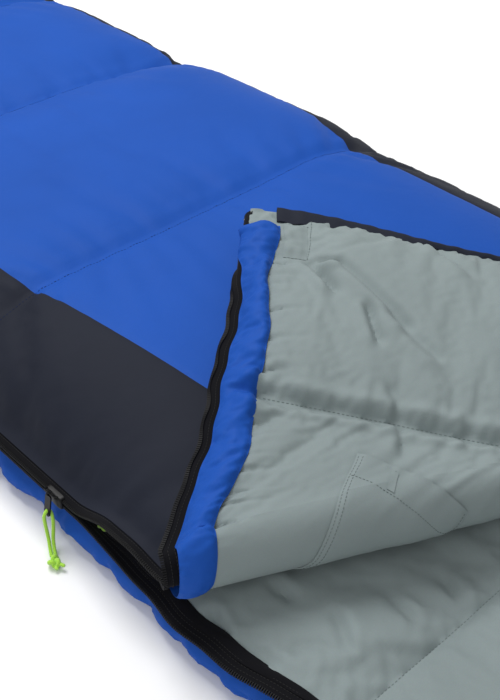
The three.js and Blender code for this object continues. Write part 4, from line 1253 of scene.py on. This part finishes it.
# ---- hems, bindings and seams --------------------------------------------------------------------
def add_hems():
    # Foot binding: a folded strip over both layers' ends.
    x = np.linspace(-SEAM_X + 0.004, SEAM_X - 0.004, 150)
    ripple = 0.0005 * np.sin(x * 260) + 0.0004 * np.sin(x * 413 + 1)
    section = [(-0.004, 0.036), (0.002, 0.035), (0.0040, 0.038), (0.0040, 0.044), (0.0026, 0.049),
               (-0.004, 0.0495)]
    out, z = np.transpose(section)[..., None]
    outer = grid(x, LAYER_END + out + ripple * (out > 0) * 0.5 - 0.0006, z + ripple)
    inner = grid(x, LAYER_END - 0.004, np.linspace(0.038, 0.0475, len(section))[:, None])
    binding = slab("foot_binding", outer, inner, "charcoal_shell")
    show(binding, "bag", "charcoal_shell", "foot_end_binding")
    # Head facing of the bottom layer.
    x = np.linspace(GUARD_INNER_X + 0.001, TOP_FAR_X, 150)
    ripple = 0.0005 * np.sin(x * 230) + 0.0005 * np.sin(x * 377 + 2)
    section = [(0.006, 0.0335), (0.0006, 0.0335), (0, 0.0365), (0.0006, 0.0396), (0.006, 0.0406),
               (0.011, 0.0402), (0.0148, 0.0388)]
    core = [(0.006, 0.035), (0.005, 0.036), (0.005, 0.037), (0.005, 0.0375), (0.007, 0.038), (0.011, 0.038),
            (0.0146, 0.0377)]
    into, z = np.transpose(section)[..., None]
    outer = grid(x, -HALF_LENGTH + into + ripple * (into > 0.01), z + ripple * 0.5)
    into, z = np.transpose(core)[..., None]
    inner = grid(x, -HALF_LENGTH + into, z)
    facing = slab("bottom_head_facing", outer, inner, "charcoal_shell")
    show(facing, "bag", "charcoal_shell", "bottom_head_hem")
    path = np.stack([x, -HALF_LENGTH + 0.0125 + ripple, 0.0400 + ripple * 0.5], -1)
    up = upwards(path)
    stitches("bottom_head_stitch", path, up, "grey_thread", "bag")
    # Welt along the far side.
    y = np.linspace(fold_y(TOP_FAR_X), LAYER_END, 240)
    wander = 0.0007 * np.sin(y * 118) + 0.0006 * np.sin(y * 67 + 1)
    welt = tube("far_side_welt", np.stack([SEAM_X + 0.0010 + wander, y, 0.0408 + wander * 0.6], -1),
                0.0021 + 0.0003 * np.sin(y * 211), "charcoal_shell")
    show(welt, "bag", "charcoal_shell", "far_side_seam")
    # Head hem of the folded layer: the shell turned over the edge onto the lining.
    start = TOP_ZIP_X + TUBE_WIDTH - 0.008
    x = np.concatenate([np.linspace(start, 0.290, 150), np.linspace(0.2925, 0.368, 24)])
    hem = head_hem_y(x)
    ripple = 0.0006 * np.sin(x * 190) + 0.0006 * np.sin(x * 331 + 1)
    section = [(0.0, 0.0030), (-0.0028, 0.0012), (-0.0034, -0.0020), (-0.001, -0.0052), (0.004, -0.0064),
               (0.010, -0.0058), (0.0150, -0.0036)]
    into, height = np.transpose(section)[..., None]
    narrow = lerp(1.45, 0.6, smooth((x + 0.21) / 0.05))
    y = np.maximum(hem + into * narrow + ripple * (into > 0.005), -HALF_LENGTH + 0.0004)
    outer, _ = folded(x, y, height + ripple * 0.6)
    inner, _ = folded(x, hem + np.maximum(into, 0.0015) * narrow, height * 0.5)
    facing = slab("head_hem_binding", outer, inner, "charcoal_shell")
    show(facing, "flap", "charcoal_shell", "head_hem_facing")


# ---- stitching on the quilt ----------------------------------------------------------------------
QUILT_STITCH = (0.0046, 0.003)       # pitch and length


def lining_line(xs, ys, extra=0.0):
    depth, slide = lining_depth(xs, ys, FLAP_PEAK)
    points, up = folded(xs, ys, -depth - extra, slide)
    return points, -up


def shell_line(xs, ys):
    height, slide = shell_height(xs, ys, LYING_PEAK)
    return lying(xs, ys, height, slide)


def add_quilting():
    for k, y in enumerate(TOP_QUILT_LINES):
        left = TOP_ZIP_X + 0.004
        if k == 0:
            left = FOLD_START[0] + (y - FOLD_START[1]) / math.tan(FOLD_ANGLE) + 0.004
        x = np.linspace(left, TOP_FAR_X - 0.004, 400)
        line = shell_line(x, np.full_like(x, y))
        stitches(f"top_quilt_stitch_{k + 1}", *line, "dark_thread", "bag", *QUILT_STITCH)
    crossing = FOLD_START[0] + (TOP_QUILT_LINES[0] - FOLD_START[1]) / math.tan(FOLD_ANGLE)
    x = np.linspace(TUBE_LEFT_X + TUBE_WIDTH + 0.002, crossing - 0.003, 300)
    y = np.full_like(x, TOP_QUILT_LINES[0])
    stitches("flap_quilt_stitch", *lining_line(x, y), "lining_thread", "flap", *QUILT_STITCH)
    for k, y in enumerate(BOTTOM_QUILT_LINES):
        x = np.linspace(GUARD_INNER_X + 0.004, SEAM_X - 0.006, 400)
        yy = np.full_like(x, y)
        height, slide = bottom_lining_height(x, yy)
        path = np.stack([x + slide[:, 0], yy + slide[:, 1], height], -1)
        up = upwards(path)
        stitches(f"bottom_quilt_stitch_{k + 1}", path, up, "lining_thread", "bag", *QUILT_STITCH)
    for name, start, end in (("head", (PATCH["left"], PATCH["head"]), (PATCH["right"], PATCH["head"])),
                             ("side", (PATCH["right"] + 0.004, -0.936), (PATCH["right"], PATCH["foot"])),
                             ("foot", (PATCH["left"], PATCH["foot"]), (PATCH["right"], PATCH["foot"]))):
        t = np.linspace(0, 1, 60)
        xs, ys = lerp(start[0], end[0], t), lerp(start[1], end[1], t)
        stitches(f"corner_stitch_{name}", *lining_line(xs, ys, 0.0002), "lining_thread", "flap")


# ---- corner patch, pocket and tab ----------------------------------------------------------------
def add_corner_patch():
    right = PATCH["right"] - 0.001
    x, y = np.meshgrid(np.linspace(PATCH["left"], right, 10), np.linspace(PATCH["head"], PATCH["foot"], 16))
    inside = np.minimum(np.minimum(x - PATCH["left"], right - x),
                        np.minimum(y - PATCH["head"], PATCH["foot"] - y))
    depth, slide = lining_depth(x, y, FLAP_PEAK)
    lift = 0.0005 + 0.0012 * smooth(inside / 0.006)
    patch = between("corner_patch_cloth", folded, x, y, -depth - lift, -depth + 0.0003, "lining", slide)
    show(patch, "flap", "lining", "corner_patch")


# The pocket is set askew. Its place is given along the fold, and past the flap's side of the roll.
POCKET_CORNER = (0.186, -0.044)
POCKET_OPENING = (0.0890, 0.0830)    # from that corner along the open edge
POCKET_LEAN = -0.66                  # its sides run along the fold by so much as they go past it
POCKET_DEPTH = 0.150
ROLL_RUN = 0.100                     # the lining's run round the roll


def on_lining(along, past, extra):
    """Points on the lining and the lining's direction, a height above it. extra may be an array."""
    along, past, extra = np.broadcast_arrays(along, past, extra)
    x = FOLD_START[0] + along * ALONG[0]
    flat = np.minimum(past, 0) + np.maximum(past - ROLL_RUN, 0)
    plan_x = x + flat * TO_FOOT[0]
    plan_y = FOLD_START[1] + along * ALONG[1] + flat * TO_FOOT[1]
    turn = np.clip(1 - past / ROLL_RUN, 0, 1)
    depth, slide = lining_depth(plan_x, plan_y, FLAP_PEAK)
    on_flap, up_flap = folded(plan_x, plan_y, -depth - extra, slide)
    depth, slide = roll_depth(x, turn)
    on_roll, up_roll = rolled(x, turn, -depth - extra, slide)
    near = 1 - smooth(from_fold(plan_x, plan_y) / 0.06)
    depth, slide = lining_depth(plan_x, plan_y, lerp(HIDDEN_PEAK, FLAP_PEAK, near))
    on_top, up_top = lying(plan_x, plan_y, -depth - extra, slide)
    choice = np.where(past < 0, 0, np.where(past <= ROLL_RUN, 1, 2))[..., None]
    points = np.where(choice == 0, on_flap, np.where(choice == 1, on_roll, on_top))
    return points, -np.where(choice == 0, up_flap, np.where(choice == 1, up_roll, up_top))


def pocket_place(across, down):
    """(along the fold, past it) of a place in the pocket. across is 0 to 1, and down in metres past it."""
    past = POCKET_CORNER[1] + across * POCKET_OPENING[1] + down
    return POCKET_CORNER[0] + across * POCKET_OPENING[0] + POCKET_LEAN * down, past


def pocket_lift(across, down):
    """The pocket's cloth stands a little off the lining, most at its open edge."""
    sides = smooth(across / 0.07) * smooth((1 - across) / 0.07)
    slack = np.exp(-np.maximum(down, 0) / 0.020)
    swell = 0.0012 * np.sin(across * 9 + 1) * smooth(down / 0.02)
    return 0.0006 + sides * (0.0016 + 0.0030 * slack + swell * 0.6)


POCKET_THICK = 0.0013


def add_pocket():
    reach = -POCKET_CORNER[1] / POCKET_OPENING[1]         # where its open edge meets the roll
    for name, body, first, last, width, nodes in (
            ("on_flap", "flap", None, 0.0, reach - 0.005, ["pocket_flap_part"]),
            ("round_fold", None, 0.0, ROLL_RUN, 1.0, []),
            ("under_top", "bag", ROLL_RUN + 0.0001, None, 1.0, ["pocket_lower_part"])):
        across, v = np.meshgrid(even(36) * width, even(24))
        opening = POCKET_CORNER[1] + across * POCKET_OPENING[1]
        start = opening if first is None else np.maximum(opening, first)
        end = opening + POCKET_DEPTH if last is None else last
        past = lerp(start, np.maximum(end, start + 0.0005), v)
        if body == "flap":
            past = np.minimum(past, -0.00005)
        down = past - opening
        along = POCKET_CORNER[0] + across * POCKET_OPENING[0] + POCKET_LEAN * down
        lift = pocket_lift(across, down)
        piece = between(f"pocket_{name}", on_lining, along, past, lift + POCKET_THICK, lift, "lining")
        if body is None:
            joint_blend(piece)
        show(piece, body, "lining", *nodes)

    t = even(160)
    for name, across, down in (("left", 0.02 + 0 * t, lerp(0.002, 0.125, t)),
                               ("left_second", 0.055 + 0 * t, lerp(0.002, 0.125, t)),
                               ("right", 0.98 + 0 * t, lerp(0.002, 0.055, t)),
                               ("hem", lerp(0.03, 0.96, t), 0.024 + 0 * t),
                               ("middle", 0.36 + 0.004 * t, lerp(0.004, 0.024, t))):
        along, past = pocket_place(across, down)
        points, up = on_lining(along, past, pocket_lift(across, down) + POCKET_THICK)
        for part, here in (("flap", past < -0.0003), ("roll", (past > 0.0003) & (past < ROLL_RUN))):
            if here.sum() < 6:
                continue
            row = stitches(f"pocket_stitch_{name}_{part}", points[here], up[here], "lining_thread",
                           "flap" if part == "flap" else None, 0.0036, 0.0024)
            if part == "roll":
                joint_blend(row)


def add_hook_tab():
    across, down = np.meshgrid(np.linspace(0.33, 0.39, 6), np.linspace(0.006, 0.022, 9))
    along, past = pocket_place(across, down)
    lift = pocket_lift(across, down) + POCKET_THICK
    tab = between("pocket_tab", on_lining, along, past, lift + 0.0009, lift - 0.0002, "lining")
    show(tab, "flap", "lining", "pocket_hook_tab")


# ---- slider body ---------------------------------------------------------------------------------
def add_slider_body():
    """A channel round both coils, rounded over at its corners and pinched at its ends."""
    low, high = (np.array(corner) - [MIDDLE_X, 0, 0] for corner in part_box("slider_body"))
    middle = (low + high) / 2
    centre_x = ZIP_X + 0.0004
    share, turn = np.meshgrid(np.linspace(-1, 1, 41), np.radians(np.linspace(80, 280, 44)), indexing="ij")
    cosine, sine = np.cos(turn), np.sin(turn)
    across, upward = np.sign(cosine) * np.abs(cosine) ** 0.55, np.sign(sine) * np.abs(sine) ** 0.55
    ends = np.sqrt(np.clip(1 - np.abs(share) ** 7, 0, 1))
    waist = 1 - 0.10 * hump(share, 0.25, 0.35)
    grids = []
    for wall in (0, 0.0016):
        reach_x = (centre_x - low[0]) * lerp(0.62, 1, ends) * waist - wall
        reach_z = (high[2] - low[2]) / 2 * lerp(0.80, 1, ends) - wall
        grids.append(np.stack([centre_x + reach_x * across, middle[1] + share * (high[1] - low[1]) / 2,
                               middle[2] + reach_z * upward], -1))
    show(slab("slider_channel", *grids, "slider_metal", crisp=35), "slider", "slider_metal", "slider_body")
    across, along = np.linspace(low[0] + 0.0012, ZIP_X + 0.003, 5), np.linspace(-0.007, 0.007, 9)
    x, y = np.meshgrid(across, along + middle[1])
    web = np.stack([x, y, 0 * x + middle[2] + 0.0002], -1)
    show(slab("slider_web", web, web - [0, 0, 0.0006], "slider_metal"), "slider", "slider_metal")


# ---- hard parts that stay as they are ------------------------------------------------------------
def finish_hard_parts():
    for node, material in (("slider_outer_bridge", "slider_metal"),
                           ("slider_inner_bridge", "slider_metal"), ("outer_puller", "slider_metal"),
                           ("inner_puller", "slider_metal"), ("lower_top_stop", "stop_metal"),
                           ("zip_bottom_stop", "stop_metal")):
        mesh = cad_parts[node].data
        mesh.materials.clear()
        mesh.materials.append(MATERIALS[material])
    line, _ = folded(np.full(9, ZIP_X), np.linspace(-0.9465, -0.9415, 9), np.zeros(9))
    radius = 0.0023 * np.array([0.5, 0.85, 1, 1.05, 1.05, 1.05, 1, 0.85, 0.5])
    show(tube("upper_stop", line, radius, "stop_metal", 12), "flap", "stop_metal", "upper_top_stop")


add_camera()
add_stage()
add_cord("outer", OUTER_CORD_ROUTE, (0.0070, 0.0075, 0.0048),
         [((0.001, -0.004, 0.001), (0.004, -0.0115, 0.0005)),
          ((-0.002, -0.004, -0.001), (-0.003, -0.0085, -0.0015))])
add_cord("inner", INNER_CORD_ROUTE, (0.0060, 0.0062, 0.0046), [((0, -0.003, 0), (0.001, -0.0085, 0))])
add_shells()
add_linings()
add_draft_tube()
add_upper_zip()
add_lower_zip()
add_bottom()
add_hems()
add_quilting()
add_corner_patch()
add_pocket()
add_hook_tab()
add_slider_body()
finish_hard_parts()

bpy.context.view_layer.update()
